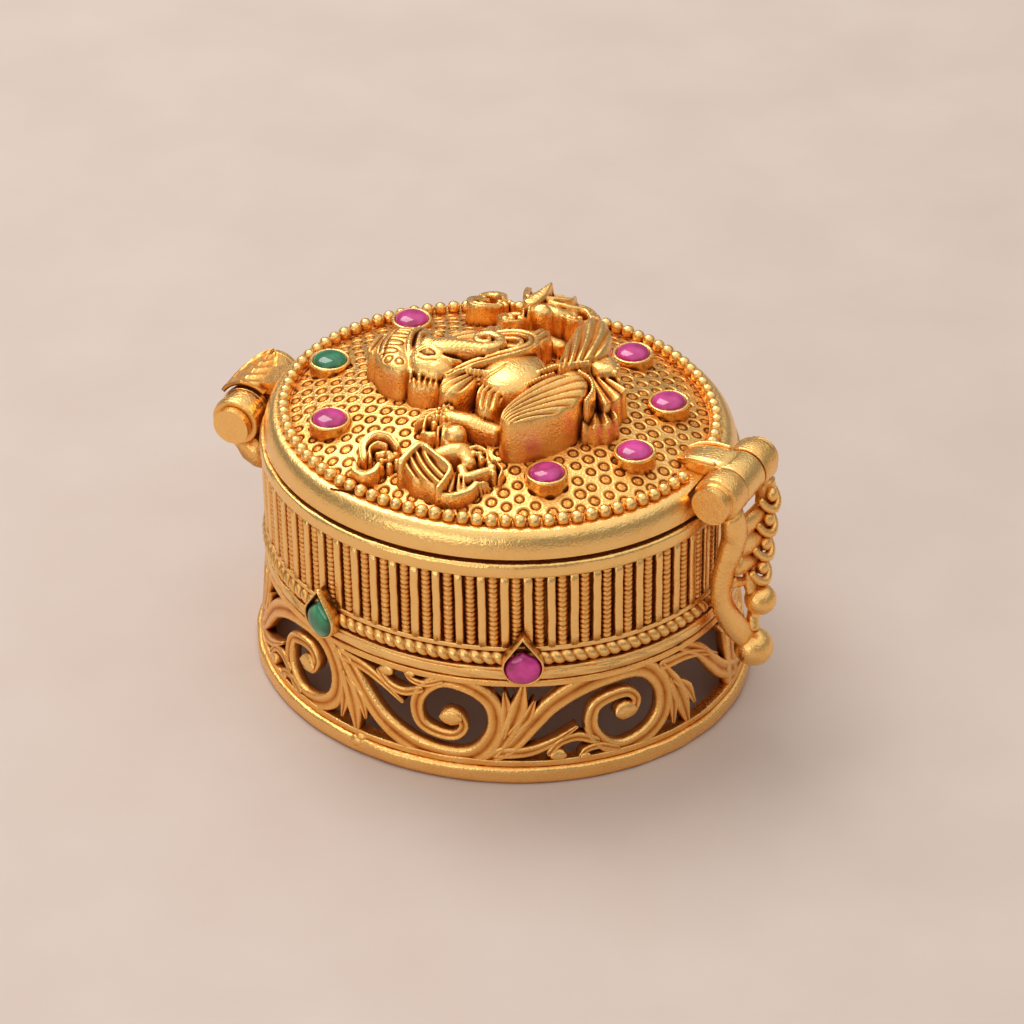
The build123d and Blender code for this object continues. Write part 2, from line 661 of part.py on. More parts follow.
def knee(outline):
    """A folded leg seen from above: a pointed petal with upright sides and a sloping top edge."""
    middle = [sum(point[axis] for point in outline) / len(outline) for axis in (0, 1)]
    crest = [tuple(m + (p - m) * KNEE_CREST for m, p in zip(middle, point)) for point in outline]
    foot = make_face(Spline(*outline, periodic=True))
    shoulder = DOME_TOP + KNEE_RISE - KNEE_EDGE
    slope = loft([Pos(0, 0, shoulder) * foot,
                  Pos(0, 0, DOME_TOP + KNEE_RISE) * make_face(Spline(*crest, periodic=True))])
    return upright(foot, KNEE_RISE - KNEE_EDGE) + slope


def deity_figure():
    parts = [knee(NEAR_KNEE), knee(FAR_KNEE)]
    for side in (-1, 1):
        parts.append(swelling(-5.4, side * 3.4, ARM_RISE, 2.4, 1.7, 1.9, side * 36))
        parts.append(swelling(-2.4, side * 5.2, ARM_RISE + 0.5, 2.3, 2.0, 2.6, -side * 20))
        parts.append(swelling(0.9, side * 4.9, ARM_RISE + 0.3, 1.7, 2.3, 2.5, -side * 34))
        parts.append(swelling(0.0, side * 8.0, ARM_RISE - 1.0, 2.6, 1.1, 1.9, -side * 14))
    parts.append(upright(Pos(-10.9, 0) * Trapezoid(7.0, 4.0, 74, rotation=90), CROWN_RISE - 0.9))
    parts.append(swelling(-10.9, 0, CROWN_RISE + 0.5, 2.7, 3.2, 1.7))
    parts.append(swelling(-7.0, 0, HEAD_RISE, 3.3, 3.5, 2.9))
    parts.append(swelling(-2.0, 0, BELLY_RISE - 0.9, 4.0, 4.6, 3.0))
    parts.append(swelling(2.1, -0.3, BELLY_RISE, 3.8, 4.0, 3.2))
    parts.append(swelling(6.4, 0, FOOT_RISE, 3.4, 2.4, 2.8))
    parts.append(swelling(10.2, 2.6, FOOT_RISE + 0.5, 1.9, 1.3, 1.6))
    parts.append(upright(Pos(11.3, 0.1) * Rectangle(4.6, 4.6), PLEAT_RISE))
    parts.append(trunk())
    body = parts[0]
    for piece in parts[1:]:
        body += piece
    return body - dome_block(SOLDER_GAP)


def attendant(side):
    """A small dancing attendant between the figure and the edge: head, body, skirt and arms."""
    edge = DOME_HALF_WIDTH
    hem = Pos(-1.2, side * (edge - 2.9)) * Rot(0, 0, side * 35) * Ellipse(3.0, 2.1)
    head = swelling(0.1, side * (edge - 7.6), ATTENDANT_HEAD_RISE, 1.4, 1.3, 1.7)
    chest = swelling(0.9, side * (edge - 5.6), ATTENDANT_RISE + 0.4, 2.1, 1.6, 2.0, side * 20)
    skirt = upright(hem, ATTENDANT_RISE)
    arm = swelling(4.0, side * (edge - 4.8), ATTENDANT_RISE - 1.0, 2.0, 1.0, 1.3, -side * 24)
    fan = swelling(-7.4, side * (edge - 4.3), ATTENDANT_RISE - 1.2, 1.8, 2.4, 1.2, -side * 12)
    link = swelling(-4.2, side * (edge - 4.3), ATTENDANT_RISE - 1.2, 2.7, 1.1, 1.2)
    return head + chest + skirt + arm + fan + link - dome_block(SOLDER_GAP)


# Clasp


def clasp_tab():
    """The lid's barrel for the clasp and the strap that runs in over the beads."""
    top = CLASP_TAB_RADIUS
    length = CLASP_STRAP_LENGTH
    upper = Spline((0.0, top), (-length / 3, top - CLASP_STRAP_FALL * 0.6), (-length, top - CLASP_STRAP_FALL))
    lower = Polyline(upper @ 1, (-length, -0.5), (-2.0, -1.2), (0, -0.5), (0, top))
    strap = make_face(Wire([upper] + lower.edges()))
    body = knuckle(CLASP_TAB_RADIUS, -CLASP_TAB_HALF_WIDTH, CLASP_TAB_HALF_WIDTH)
    body += extrude(Plane.XZ * strap, CLASP_TAB_HALF_WIDTH, both=True)
    body -= knuckle(PIN_RADIUS + PIN_CLEARANCE, -CLASP_HALF_LENGTH, CLASP_HALF_LENGTH)
    return CLASP_FRAME * body - lid_envelope()


def clasp_pin():
    return CLASP_FRAME * rivet(CLASP_HALF_LENGTH)


@lru_cache(maxsize=None)
def lever_blank():
    """The lever's side view, run across its width, with the forked top and narrow tail."""
    wall = LID_HALF_LENGTH + ROPE_OUTSET + LEVER_WALL_GAP - CLASP_X
    bend = LEVER_BEND_Z - CLASP_Z
    end = FINIAL_Z - CLASP_Z
    out = LEVER_THICKNESS
    inner = Spline((-0.2, -1.5), (0.1, bend * 0.45), (wall, bend), (FINIAL_OUT - 0.9, end + 0.6))
    outer = Spline((FINIAL_OUT + 0.9, end + 1.2), (wall + out, bend), (0.5 + out, bend * 0.45),
                   (CLASP_KNUCKLE_RADIUS, 0))
    side = make_face(Wire([inner, Line(inner @ 1, outer @ 0), outer, Line(outer @ 1, inner @ 0)]))
    blade = extrude(Plane.XZ * side, LEVER_TOP_HALF_WIDTH, both=True)
    neck = bend * 0.55
    low = end - FINIAL_RADIUS
    front = make_face(Polyline((-LEVER_TOP_HALF_WIDTH, 3), (LEVER_TOP_HALF_WIDTH, 3),
                               (LEVER_TOP_HALF_WIDTH, -2), (LEVER_BEND_HALF_WIDTH, neck),
                               (LEVER_BEND_HALF_WIDTH * 0.8, low), (-LEVER_BEND_HALF_WIDTH * 0.8, low),
                               (-LEVER_BEND_HALF_WIDTH, neck), (-LEVER_TOP_HALF_WIDTH, -2), close=True))
    return blade & extrude(Plane.YZ * front, 20, both=True)


def clasp_lever():
    inner_end = CLASP_TAB_HALF_WIDTH + KNUCKLE_SIDE_GAP
    body = lever_blank() + knuckle(CLASP_KNUCKLE_RADIUS, -CLASP_HALF_LENGTH, CLASP_HALF_LENGTH)
    fork = Pos(0, 0, 5 - FORK_DEPTH) * Box(20, 2 * inner_end, 10)
    body -= fork
    body -= knuckle(PIN_RADIUS + PIN_CLEARANCE, -CLASP_HALF_LENGTH - 1, CLASP_HALF_LENGTH + 1)
    return CLASP_FRAME * body


def finial_ball():
    ball = Pos(FINIAL_OUT, 0, FINIAL_Z - CLASP_Z) * Sphere(FINIAL_RADIUS)
    return CLASP_FRAME * (ball - lever_blank())


def finger_ball():
    height = FINGER_BALL_Z - CLASP_Z
    ball = Pos(FINGER_BALL_OUT, 0, height) * Sphere(FINGER_BALL_RADIUS)
    neck = Pos(FINGER_BALL_OUT / 2, 0, height) * Rot(0, 90, 0) * Cylinder(0.9, FINGER_BALL_OUT)
    return CLASP_FRAME * (ball + neck - lever_blank())


def clasp_leaf():
    """Leaves cast down the outer face of the lever."""
    leaves = None
    radius = CLASP_LEAF_RADIUS
    for i in range(3):
        height = -4.0 - 2.6 * i
        leaf = Pos(2.5, 1.5 - 0.35 * i, height) * Rot(0, -8, 0) * scale(
            Sphere(1), by=(0.9, radius, radius * 1.4))
        leaves = leaf if leaves is None else leaves + leaf
    return CLASP_FRAME * (leaves - lever_blank() - Pos(0, 0, 5 - FORK_DEPTH) * Box(20, 4.6, 10))


NODES = {
    "base_ring": base_ring,
    "scroll_gallery": scroll_gallery,
    "moulding_ring": moulding_ring,
    "rope_border": rope_border,
    "bar_band": bar_band,
    "milled_wires": milled_wires,
    "cup_wall": cup_wall,
    "cup_floor": cup_floor,
    "drop_collars": drop_collars,
    "drop_stones_pink": lambda: drop_stones("pink"),
    "drop_stones_green": lambda: drop_stones("green"),
    "hinge_bracket": hinge_bracket,
    "hinge_pin": hinge_pin,
    "lid_rim": lid_rim,
    "lid_lip": lid_lip,
    "lid_dome": lid_dome,
    "bead_border": bead_border,
    "stone_collars": stone_collars,
    "lid_stones_pink": lambda: lid_stones("pink"),
    "lid_stone_green": lambda: lid_stones("green"),
    "deity_figure": deity_figure,
    "attendant_near": lambda: attendant(-1),
    "attendant_far": lambda: attendant(1),
    "hinge_tab": hinge_tab,
    "hinge_leaf": hinge_leaf,
    "clasp_tab": clasp_tab,
    "clasp_pin": clasp_pin,
    "clasp_lever": clasp_lever,
    "clasp_finial_ball": finial_ball,
    "clasp_finger_ball": finger_ball,
    "clasp_leaf": clasp_leaf,
}

for name, build in NODES.items():
    export_step(build(), f"parts/{name}.step")
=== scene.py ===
"""Looks of an oval gilt sindoor box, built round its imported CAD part. Sizes below are in millimetres."""
import math
import random

import bmesh
import bpy
import numpy as np
from mathutils import Matrix


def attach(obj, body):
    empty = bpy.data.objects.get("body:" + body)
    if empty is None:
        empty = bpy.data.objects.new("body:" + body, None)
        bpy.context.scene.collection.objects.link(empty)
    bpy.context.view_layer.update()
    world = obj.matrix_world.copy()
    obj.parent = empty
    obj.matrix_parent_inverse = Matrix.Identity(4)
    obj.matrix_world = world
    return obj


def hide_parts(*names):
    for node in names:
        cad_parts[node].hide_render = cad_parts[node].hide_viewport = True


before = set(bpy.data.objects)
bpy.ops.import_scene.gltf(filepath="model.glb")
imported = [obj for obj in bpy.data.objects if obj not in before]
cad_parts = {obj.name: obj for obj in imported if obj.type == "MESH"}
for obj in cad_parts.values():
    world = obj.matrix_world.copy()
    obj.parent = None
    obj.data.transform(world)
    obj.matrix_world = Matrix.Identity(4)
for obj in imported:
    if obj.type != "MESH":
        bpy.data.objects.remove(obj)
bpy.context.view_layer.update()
MM = 0.001

# The part's own sizes, as its CAD has them
HALF_LONG, HALF_WIDE = 25.0, 22.1
BASE_TOP, GALLERY_TOP, ROPE_Z, RAIL_Z = 1.9, 12.2, 13.9, 15.8
SLOT_Z, RIM_Z, MOUTH_Z, LEDGE_Z = 16.3, 24.9, 26.45, 29.65
BEVEL_WIDE, BEAD_LEDGE, DOME_RISE, DOME_WALL = 1.45, 1.5, 3.85, 0.9
DOME_OUTSET = -BEVEL_WIDE - BEAD_LEDGE
BEAD_OUTSET = -BEVEL_WIDE - BEAD_LEDGE / 2
STONES = [(-19.2, 0.0, "green")] + [(x, y * s, "pink") for x, y in
                                    ((-14.4, 10.4), (10.2, 12.0), (16.9, 4.9)) for s in (1, -1)]
STONE_R, COLLAR_HEIGHT = 1.75, 1.1
HINGE = (-28.0, 0.0, 25.0)
CLASP = (26.7, -1.75, 29.0)
CLASP_SKEW = math.radians(-8.0)

# Counts and finenesses of this script
SWEEP_COUNT = 480
UPRIGHTS = 64
BEADS, BEAD_R, BEAD_GAP, STRAP_HALF = 94, 0.7, 0.35, 1.8
RECESS_X, RECESS_HALF = -24.5, 2.4
SCROLL_PITCH, SCROLL_SHIFT, SCROLL_Z = 18.0, -4.9, 7.05
RELIEF_SINK = 0.35
RELIEF_FOOT = 0.3


# Mesh helpers
def add_mesh(name, verts, faces, body, material, cavity_shade):
    """A smooth-shaded piece on one body, with painted shade for how hollow each point lies kept as an
    attribute.
    """
    data = bpy.data.meshes.new(name)
    data.from_pydata([tuple(v) for v in np.asarray(verts, float) * MM], [], [tuple(f) for f in faces])
    data.update()
    data.polygons.foreach_set("use_smooth", [True] * len(data.polygons))
    layer = data.attributes.new("cavity_shade", "FLOAT", "POINT")
    layer.data.foreach_set("value", np.asarray(cavity_shade, np.float32))
    obj = bpy.data.objects.new(name, data)
    bpy.context.scene.collection.objects.link(obj)
    data.materials.append(material)
    skin = bmesh.new()
    skin.from_mesh(data)
    bmesh.ops.recalc_face_normals(skin, faces=skin.faces)
    skin.to_mesh(data)
    skin.free()
    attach(obj, body)
    return obj


class Part:
    """Gathers closed pieces into one mesh."""

    def __init__(self):
        self.verts, self.faces, self.cavity_shade = [], [], []

    def add(self, verts, faces, cavity_shade=0.0):
        base = len(self.verts)
        self.verts.extend(np.asarray(verts, float).tolist())
        self.faces.extend([[base + i for i in f] for f in faces])
        values = np.broadcast_to(np.asarray(cavity_shade, float), (len(verts),))
        self.cavity_shade.extend(values.tolist())

    def move(self, place):
        self.verts = [list(place(v)) for v in self.verts]

    def build(self, name, body, material, slot="gilt_brass"):
        return add_mesh(name, self.verts, self.faces, body, material, self.cavity_shade)


def grid_faces(rows, cols, close_rows=False, close_cols=False, flip=False):
    """Four-sided faces over rows of points, closed round either way."""
    faces = []
    for i in range(rows if close_rows else rows - 1):
        for j in range(cols if close_cols else cols - 1):
            a = i * cols + j
            b = i * cols + (j + 1) % cols
            c = ((i + 1) % rows) * cols + (j + 1) % cols
            d = ((i + 1) % rows) * cols + j
            faces.append([a, d, c, b] if flip else [a, b, c, d])
    return faces


def capped(rows, cols):
    """Faces of a closed tube of rows of points, both its ends filled."""
    faces = grid_faces(rows, cols, close_cols=True)
    faces.append(list(range(cols)))
    faces.append(list(range((rows - 1) * cols, rows * cols))[::-1])
    return faces


def smooth_line(points, per=6):
    """A Catmull-Rom curve through points, each a row of numbers."""
    p = np.asarray(points, float)
    ends = np.vstack([2 * p[0] - p[1], p, 2 * p[-1] - p[-2]])
    out = []
    for i in range(len(p) - 1):
        a, b, c, d = ends[i:i + 4]
        for k in range(per):
            t = k / per
            out.append(0.5 * (2 * b + (c - a) * t + (2 * a - 5 * b + 4 * c - d) * t * t
                              + (3 * b - a - 3 * c + d) * t ** 3))
    out.append(p[-1])
    return np.array(out)


def tube(part, points, radii, around=12, flat=1.0, up=(0, 0, 1)):
    """A closed round bar along points, with a radius at each, flattened along up."""
    p = np.asarray(points, float)
    r = np.broadcast_to(np.asarray(radii, float), (len(p),))
    tangent = np.gradient(p, axis=0)
    tangent /= np.linalg.norm(tangent, axis=1)[:, None]
    normal = np.asarray(up, float)
    rows = []
    for i in range(len(p)):
        n = normal - tangent[i] * normal.dot(tangent[i])
        if np.linalg.norm(n) < 1e-3:
            n = np.array([1.0, 0, 0]) - tangent[i] * tangent[i][0]
        n /= np.linalg.norm(n)
        side = np.cross(tangent[i], n)
        a = np.linspace(0, 2 * np.pi, around, endpoint=False)
        rows.append(p[i] + r[i] * (np.outer(np.cos(a), side) + flat * np.outer(np.sin(a), n)))
    verts = np.vstack(rows + [p[:1] - tangent[:1] * r[0] * 0.3, p[-1:] + tangent[-1:] * r[-1] * 0.3])
    faces = grid_faces(len(p), around, close_cols=True)
    first, last = len(p) * around, len(p) * around + 1
    for j in range(around):
        k = (j + 1) % around
        faces.append([first, k, j])
        faces.append([last, first - around + j, first - around + k])
    part.add(verts, faces)


def ball(part, centre, radius, stretch=(1, 1, 1), rings=10, around=16, cavity_shade=0.0):
    verts = []
    for i in range(rings + 1):
        a = math.pi * i / rings
        for j in range(around):
            b = 2 * math.pi * j / around
            x = math.sin(a) * math.cos(b) * radius * stretch[0]
            y = math.sin(a) * math.sin(b) * radius * stretch[1]
            z = math.cos(a) * radius * stretch[2]
            verts.append((centre[0] + x, centre[1] + y, centre[2] + z))
    part.add(verts, grid_faces(rings + 1, around, close_cols=True, flip=True), cavity_shade)


def turned(part, profile, place, around=32, cavity_shade=0.0, ring=False):
    """A profile of (radius, height) turned about an axis; place maps a point to the part."""
    verts = []
    values = []
    flags = np.broadcast_to(np.asarray(cavity_shade, float), (len(profile),))
    for k, (r, h) in enumerate(profile):
        for j in range(around):
            a = 2 * math.pi * j / around
            verts.append(place((r * math.cos(a), r * math.sin(a), h)))
            values.append(flags[k])
    part.add(verts, grid_faces(len(profile), around, close_rows=ring, close_cols=True), values)


def lying(part, profile, around, side=1):
    """A profile of (radius, distance) turned about an axis along Y, towards one side."""
    turned(part, profile, lambda p: (p[0], side * p[2], p[1]), around, 0.0, ring=True)


# The oval wall
TURN = np.linspace(0, 2 * np.pi, 7201)
TABLES = {}


def table_of(outset):
    """Arc length round the oval at an outset, worked out once."""
    if outset not in TABLES:
        x = (HALF_LONG + outset) * np.cos(TURN)
        y = (HALF_WIDE + outset) * np.sin(TURN)
        TABLES[outset] = np.concatenate([[0], np.cumsum(np.hypot(np.diff(x), np.diff(y)))])
    return TABLES[outset]


def station(share, outset):
    """The angle at a share of the way round the oval."""
    table = table_of(outset)
    return np.interp(np.mod(share, 1.0) * table[-1], table, TURN)


def along(distance, outset, side=-1):
    """The angle at a distance along the wall from the middle of one long side."""
    table = table_of(outset)
    start = 0.75 if side < 0 else 0.25
    return np.interp(np.mod(start * table[-1] + distance, table[-1]), table, TURN)


def on_wall(angle, outset, z):
    """Points on the wall at an angle, moved out by outset along the oval's own offset."""
    angle, outset, z = np.broadcast_arrays(*(np.asarray(v, float) for v in (angle, outset, z)))
    return np.stack([(HALF_LONG + outset) * np.cos(angle), (HALF_WIDE + outset) * np.sin(angle), z], -1)


def wall_axes(angle, outset):
    """The directions along the wall and out of it."""
    tangent = np.array([-(HALF_LONG + outset) * math.sin(angle), (HALF_WIDE + outset) * math.cos(angle),
                        0.0])
    tangent /= np.linalg.norm(tangent)
    return tangent, np.array([tangent[1], -tangent[0], 0.0])


def ring_sweep(part, profile, wobble, seed, cavity_shade=0.0):
    """A closed profile of (outset, z) swept round the oval, with a slight unevenness."""
    count = SWEEP_COUNT
    random.seed(seed)
    waves = [(random.randint(3, 40), random.uniform(0, 6.28), random.uniform(0.3, 1)) for _ in range(9)]
    angles = station(np.arange(count) / count, 0.0)
    flags = np.broadcast_to(np.asarray(cavity_shade, float), (len(profile),))
    verts, values = [], []
    for k, (outset, z) in enumerate(profile):
        share = np.arange(count) / count * 2 * np.pi
        dent = sum(w * np.sin(n * share + p + k * 0.6) for n, p, w in waves) * wobble / 3
        verts.append(on_wall(angles, outset + dent, z + dent * 0.5))
        values.append(np.full(count, flags[k]))
    part.add(np.vstack(verts), grid_faces(len(profile), count, close_rows=True, close_cols=True),
             np.concatenate(values))


def rounded(points, radius, steps=4):
    """A closed outline with its corners rounded."""
    out = []
    n = len(points)
    for i in range(n):
        p = np.array(points[i], float)
        a = np.array(points[i - 1], float) - p
        b = np.array(points[(i + 1) % n], float) - p
        r = min(radius, np.linalg.norm(a) * 0.45, np.linalg.norm(b) * 0.45)
        start = p + a / np.linalg.norm(a) * r
        end = p + b / np.linalg.norm(b) * r
        for k in range(steps + 1):
            t = k / steps
            out.append(tuple((1 - t) ** 2 * start + 2 * t * (1 - t) * p + t * t * end))
    return out


# Materials
def noise_in(tree, scale, detail, roughness=0.5):
    """Noise over the object's own coordinates."""
    place = tree.nodes.new("ShaderNodeTexCoord")
    noise = tree.nodes.new("ShaderNodeTexNoise")
    noise.inputs["Scale"].default_value = scale
    noise.inputs["Detail"].default_value = detail
    noise.inputs["Roughness"].default_value = roughness
    tree.links.new(place.outputs["Object"], noise.inputs["Vector"])
    return noise.outputs["Fac"]


def ramp_in(tree, value, stops, target):
    """A colour ramp from a value to a socket, its stops given as (position, colour)."""
    ramp = tree.nodes.new("ShaderNodeValToRGB")
    while len(ramp.color_ramp.elements) < len(stops):
        ramp.color_ramp.elements.new(0.5)
    for element, (at, colour) in zip(ramp.color_ramp.elements, stops):
        element.position = at
        element.color = (*colour, 1.0)
    tree.links.new(value, ramp.inputs["Fac"])
    tree.links.new(ramp.outputs["Color"], target)
    return ramp.color_ramp


def shaded(name, **values):
    """A new material with values for its shader; gives the material, its tree and its shader."""
    mat = bpy.data.materials.new(name)
    mat.use_nodes = True
    shader = mat.node_tree.nodes["Principled BSDF"]
    for socket, value in values.items():
        shader.inputs[socket.replace("_", " ")].default_value = value
    return mat, mat.node_tree, shader


def gilt(name, rough=0.25, dark=1.0, grain=0.6, gold=(1.0, 0.60, 0.20)):
    """Antique gold: bright on what stands out, with painted shade from red-brown to near-black in hollows.
    """
    mat, tree, shader = shaded(name, Metallic=1.0, IOR=1.5)
    cavity_shade = tree.nodes.new("ShaderNodeAttribute")
    cavity_shade.attribute_name = "cavity_shade"
    shade = tree.nodes.new("ShaderNodeAmbientOcclusion")
    shade.samples = 6
    shade.inputs["Distance"].default_value = 0.0009
    patina = noise_in(tree, 420.0, 5.0, 0.6)
    speck = noise_in(tree, 4200.0, 3.0)

    def math_node(kind, a, b, clamp=False):
        node = tree.nodes.new("ShaderNodeMath")
        node.operation = kind
        node.use_clamp = clamp
        for socket, value in zip(node.inputs, (a, b)):
            if isinstance(value, (int, float)):
                socket.default_value = value
            else:
                tree.links.new(value, socket)
        return node.outputs[0]

    # painted shade: 0 on bright gold and 1 in a hollow, from the render's ambient occlusion and the cavity
    # attribute, with patina noise on top
    occlusion_shade = math_node("SUBTRACT", 1.0, shade.outputs["AO"])
    occlusion_shade = math_node("MULTIPLY", occlusion_shade, 0.72 * dark)
    shade_and_patina = math_node("ADD", occlusion_shade, math_node("MULTIPLY", cavity_shade.outputs["Fac"], 0.85 * dark))
    spots = math_node("MULTIPLY", math_node("SUBTRACT", patina, 0.5), 0.55)
    shade_and_patina = math_node("ADD", shade_and_patina, spots, True)
    # painted shade: the ramp runs from gold through red-brown to near-black as this value rises
    shade_and_patina_gold = (gold[0] * 0.93, gold[1] * 0.78, gold[2] * 0.60)
    ramp_in(tree, shade_and_patina, [(0.0, gold), (0.3, shade_and_patina_gold), (0.58, (0.66, 0.235, 0.040)),
                        (0.82, (0.24, 0.062, 0.010)), (1.0, (0.085, 0.020, 0.005))],
            shader.inputs["Base Color"])
    dull = math_node("ADD", math_node("MULTIPLY", shade_and_patina, 0.42), rough - 0.1)
    dull = math_node("ADD", dull, math_node("MULTIPLY", speck, 0.2), True)
    tree.links.new(dull, shader.inputs["Roughness"])
    bump = tree.nodes.new("ShaderNodeBump")
    bump.inputs["Strength"].default_value = grain
    bump.inputs["Distance"].default_value = 0.00010
    coarse = math_node("MULTIPLY", patina, 2.2)
    tree.links.new(math_node("ADD", coarse, speck), bump.inputs["Height"])
    tree.links.new(bump.outputs["Normal"], shader.inputs["Normal"])
    return mat


def stone_glass(name, deep, light):
    """A foil-backed cabochon: nearly opaque, darker in patches, with a wet gloss."""
    mat, tree, shader = shaded(name, Roughness=0.09, IOR=1.6, Coat_Weight=0.4, Coat_Roughness=0.04)
    ramp_in(tree, noise_in(tree, 520.0, 4.0), [(0.34, deep), (0.66, light)], shader.inputs["Base Color"])
    return mat


GOLD = gilt("gilt")
GOLD_SMOOTH = gilt("gilt_polished", rough=0.22, dark=0.8, grain=0.5, gold=(1.0, 0.64, 0.23))
# painted shade: a darker copy of the gilt, with stronger painted shade in hollows, for the pieces inside
# and under the box
GOLD_SHADED_INSIDE = gilt("gilt_shaded_inside", rough=0.34, dark=1.25, grain=0.6, gold=(0.92, 0.46, 0.12))
PINK = stone_glass("stone_pink", (0.36, 0.006, 0.11), (0.72, 0.035, 0.33))
GREEN = stone_glass("stone_green", (0.004, 0.085, 0.030), (0.02, 0.30, 0.13))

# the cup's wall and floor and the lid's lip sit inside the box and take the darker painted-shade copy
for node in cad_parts.values():
    node.data.materials.clear()
    node.data.materials.append(GOLD_SHADED_INSIDE if node.name in ("cup_wall", "cup_floor", "lid_lip") else GOLD)


# Relief: heights over the lid
def dome(x, y):
    """Height of the dome's surface."""
    long, wide = HALF_LONG + DOME_OUTSET, HALF_WIDE + DOME_OUTSET
    radius = (long ** 2 + DOME_RISE ** 2) / (2 * DOME_RISE)
    across = np.minimum(x ** 2 + (y * long / wide) ** 2, long ** 2)
    return LEDGE_Z + DOME_RISE - radius + np.sqrt(radius ** 2 - across)


def near_piece(X, Y, a, b):
    """Distance of points from the line between a and b, and the share of the way along it."""
    d = b - a
    t = np.clip(((X - a[0]) * d[0] + (Y - a[1]) * d[1]) / max(d.dot(d), 1e-12), 0, 1)
    return np.hypot(X - a[0] - t * d[0], Y - a[1] - t * d[1]), t


class Relief:
    """A height field over part of the lid. Each stroke or boss raises it; walls stand upright."""

    def __init__(self, low, high, step):
        self.x = np.arange(low[0], high[0] + step / 2, step)
        self.y = np.arange(low[1], high[1] + step / 2, step)
        self.X, self.Y = np.meshgrid(self.x, self.y, indexing="ij")
        self.base = dome(self.X, self.Y)
        self.Z = self.base - RELIEF_SINK
        # painted shade marked on each cell, passed on to the cavity attribute
        self.dark = np.zeros_like(self.Z)
        self.step = step

    def window(self, low, high):
        """The cells between two corners."""
        return np.ix_((self.x >= low[0]) & (self.x <= high[0]), (self.y >= low[1]) & (self.y <= high[1]))

    def put(self, inside, top, dark=0.0, soft=0.14, part=...):
        """inside is the distance in from the outline, positive inside; top the height there."""
        share = np.clip(inside / soft + 0.5, 0, 1)
        share = share * share * (3 - 2 * share)
        raised = (self.base[part] - RELIEF_SINK) * (1 - share) + top * share
        win = raised > self.Z[part]
        self.dark[part] = np.where(win, dark, self.dark[part])
        self.Z[part] = np.where(win, raised, self.Z[part])

    def frame_of(self, x, y, turn):
        c, s = math.cos(math.radians(turn)), math.sin(math.radians(turn))
        u = (self.X - x) * c + (self.Y - y) * s
        v = -(self.X - x) * s + (self.Y - y) * c
        return u, v

    def boss(self, x, y, long, wide, edge, crown, turn=0.0, power=1.0):
        """A domed oval from its edge height up to its crown."""
        u, v = self.frame_of(x, y, turn)
        q = np.sqrt((u / long) ** 2 + (v / wide) ** 2)
        top = edge + (crown - edge) * np.sqrt(np.clip(1 - q ** 2, 0, 1)) ** power
        self.put((1 - q) * min(long, wide), top)

    def stroke(self, points, widths, heights, bow=1.0, edge=0.0):
        """A raised band along a curve, with its widths and the heights of its middle spread evenly."""
        line = smooth_line([list(p) for p in points], 8)
        at = np.linspace(0, 1, len(line))
        w = np.interp(at, np.linspace(0, 1, len(widths)), widths) / 2
        h = np.interp(at, np.linspace(0, 1, len(heights)), heights)
        part = self.window(line.min(0) - w.max() - 0.3, line.max(0) + w.max() + 0.3)
        X, Y = self.X[part], self.Y[part]
        best = np.full(X.shape, 1e9)
        half = np.ones(X.shape)
        top = np.zeros(X.shape)
        for i in range(len(line) - 1):
            dist, t = near_piece(X, Y, line[i], line[i + 1])
            wide = w[i] + (w[i + 1] - w[i]) * t
            score = dist / np.maximum(wide, 1e-6)
            win = score < best
            best = np.where(win, score, best)
            half = np.where(win, wide, half)
            top = np.where(win, h[i] + (h[i + 1] - h[i]) * t, top)
        q = np.clip(best, 0, 1)
        crown = top - bow * half * (1 - np.sqrt(1 - q ** 2))
        if edge:
            crown = crown + edge * np.exp(-((q - 0.78) / 0.16) ** 2) - edge * 0.6 * np.exp(-(q / 0.35) ** 2)
        self.put((1 - best) * half, crown, soft=0.12, part=part)

    def groove(self, points, width=0.22, depth=0.16, dark=0.8):
        """A cut line along a curve, with painted shade at its bottom."""
        line = smooth_line([list(p) for p in points], 8)
        part = self.window(line.min(0) - 3 * width, line.max(0) + 3 * width)
        X, Y = self.X[part], self.Y[part]
        best = np.full(X.shape, 1e9)
        for a, b in zip(line[:-1], line[1:]):
            best = np.minimum(best, near_piece(X, Y, a, b)[0])
        cut = np.exp(-(2 * best / width) ** 2)
        self.Z[part] -= depth * cut
        self.dark[part] = np.maximum(self.dark[part], dark * cut)

    def patch(self, outline, edge, rise, ease, fold=None, rim=0.0):
        """A raised outline that swells by rise over the distance ease; fold is a depth and a wave on it."""
        inside = self.inside_of(outline)
        swell = np.sqrt(np.clip(1 - (1 - np.clip(inside / ease, 0, 1)) ** 2, 0, 1))
        top = edge + rise * swell
        dark = 0.0
        if fold is not None:
            depth, wave = fold
            top = top + depth * wave * np.clip(inside / 0.35, 0, 1)
            # painted shade in the valleys of the folds
            dark = np.clip(-wave - 0.25, 0, 1) * 0.75 * (inside > 0.12)
        if rim:
            top = top + rim * np.exp(-((inside - 0.22) / 0.16) ** 2)
        self.put(inside, top, dark)

    def fan(self, source, spread, bend=0.0):
        """A wave of lines that fan out from a source, one to each spread of degrees."""
        a = np.degrees(np.arctan2(self.Y - source[1], self.X - source[0]))
        far = np.hypot(self.X - source[0], self.Y - source[1])
        return np.cos(2 * np.pi * (a + bend * far) / spread)

    def bead(self, x, y, radius, centre):
        part = np.ix_(np.abs(self.x - x) <= radius + 0.2, np.abs(self.y - y) <= radius + 0.2)
        d = np.hypot(self.X[part] - x, self.Y[part] - y)
        top = centre + np.sqrt(np.clip(radius ** 2 - d ** 2, 0, None))
        win = (d < radius) & (top > self.Z[part])
        self.Z[part] = np.where(win, top, self.Z[part])
        self.dark[part] = np.where(win, 0.0, self.dark[part])

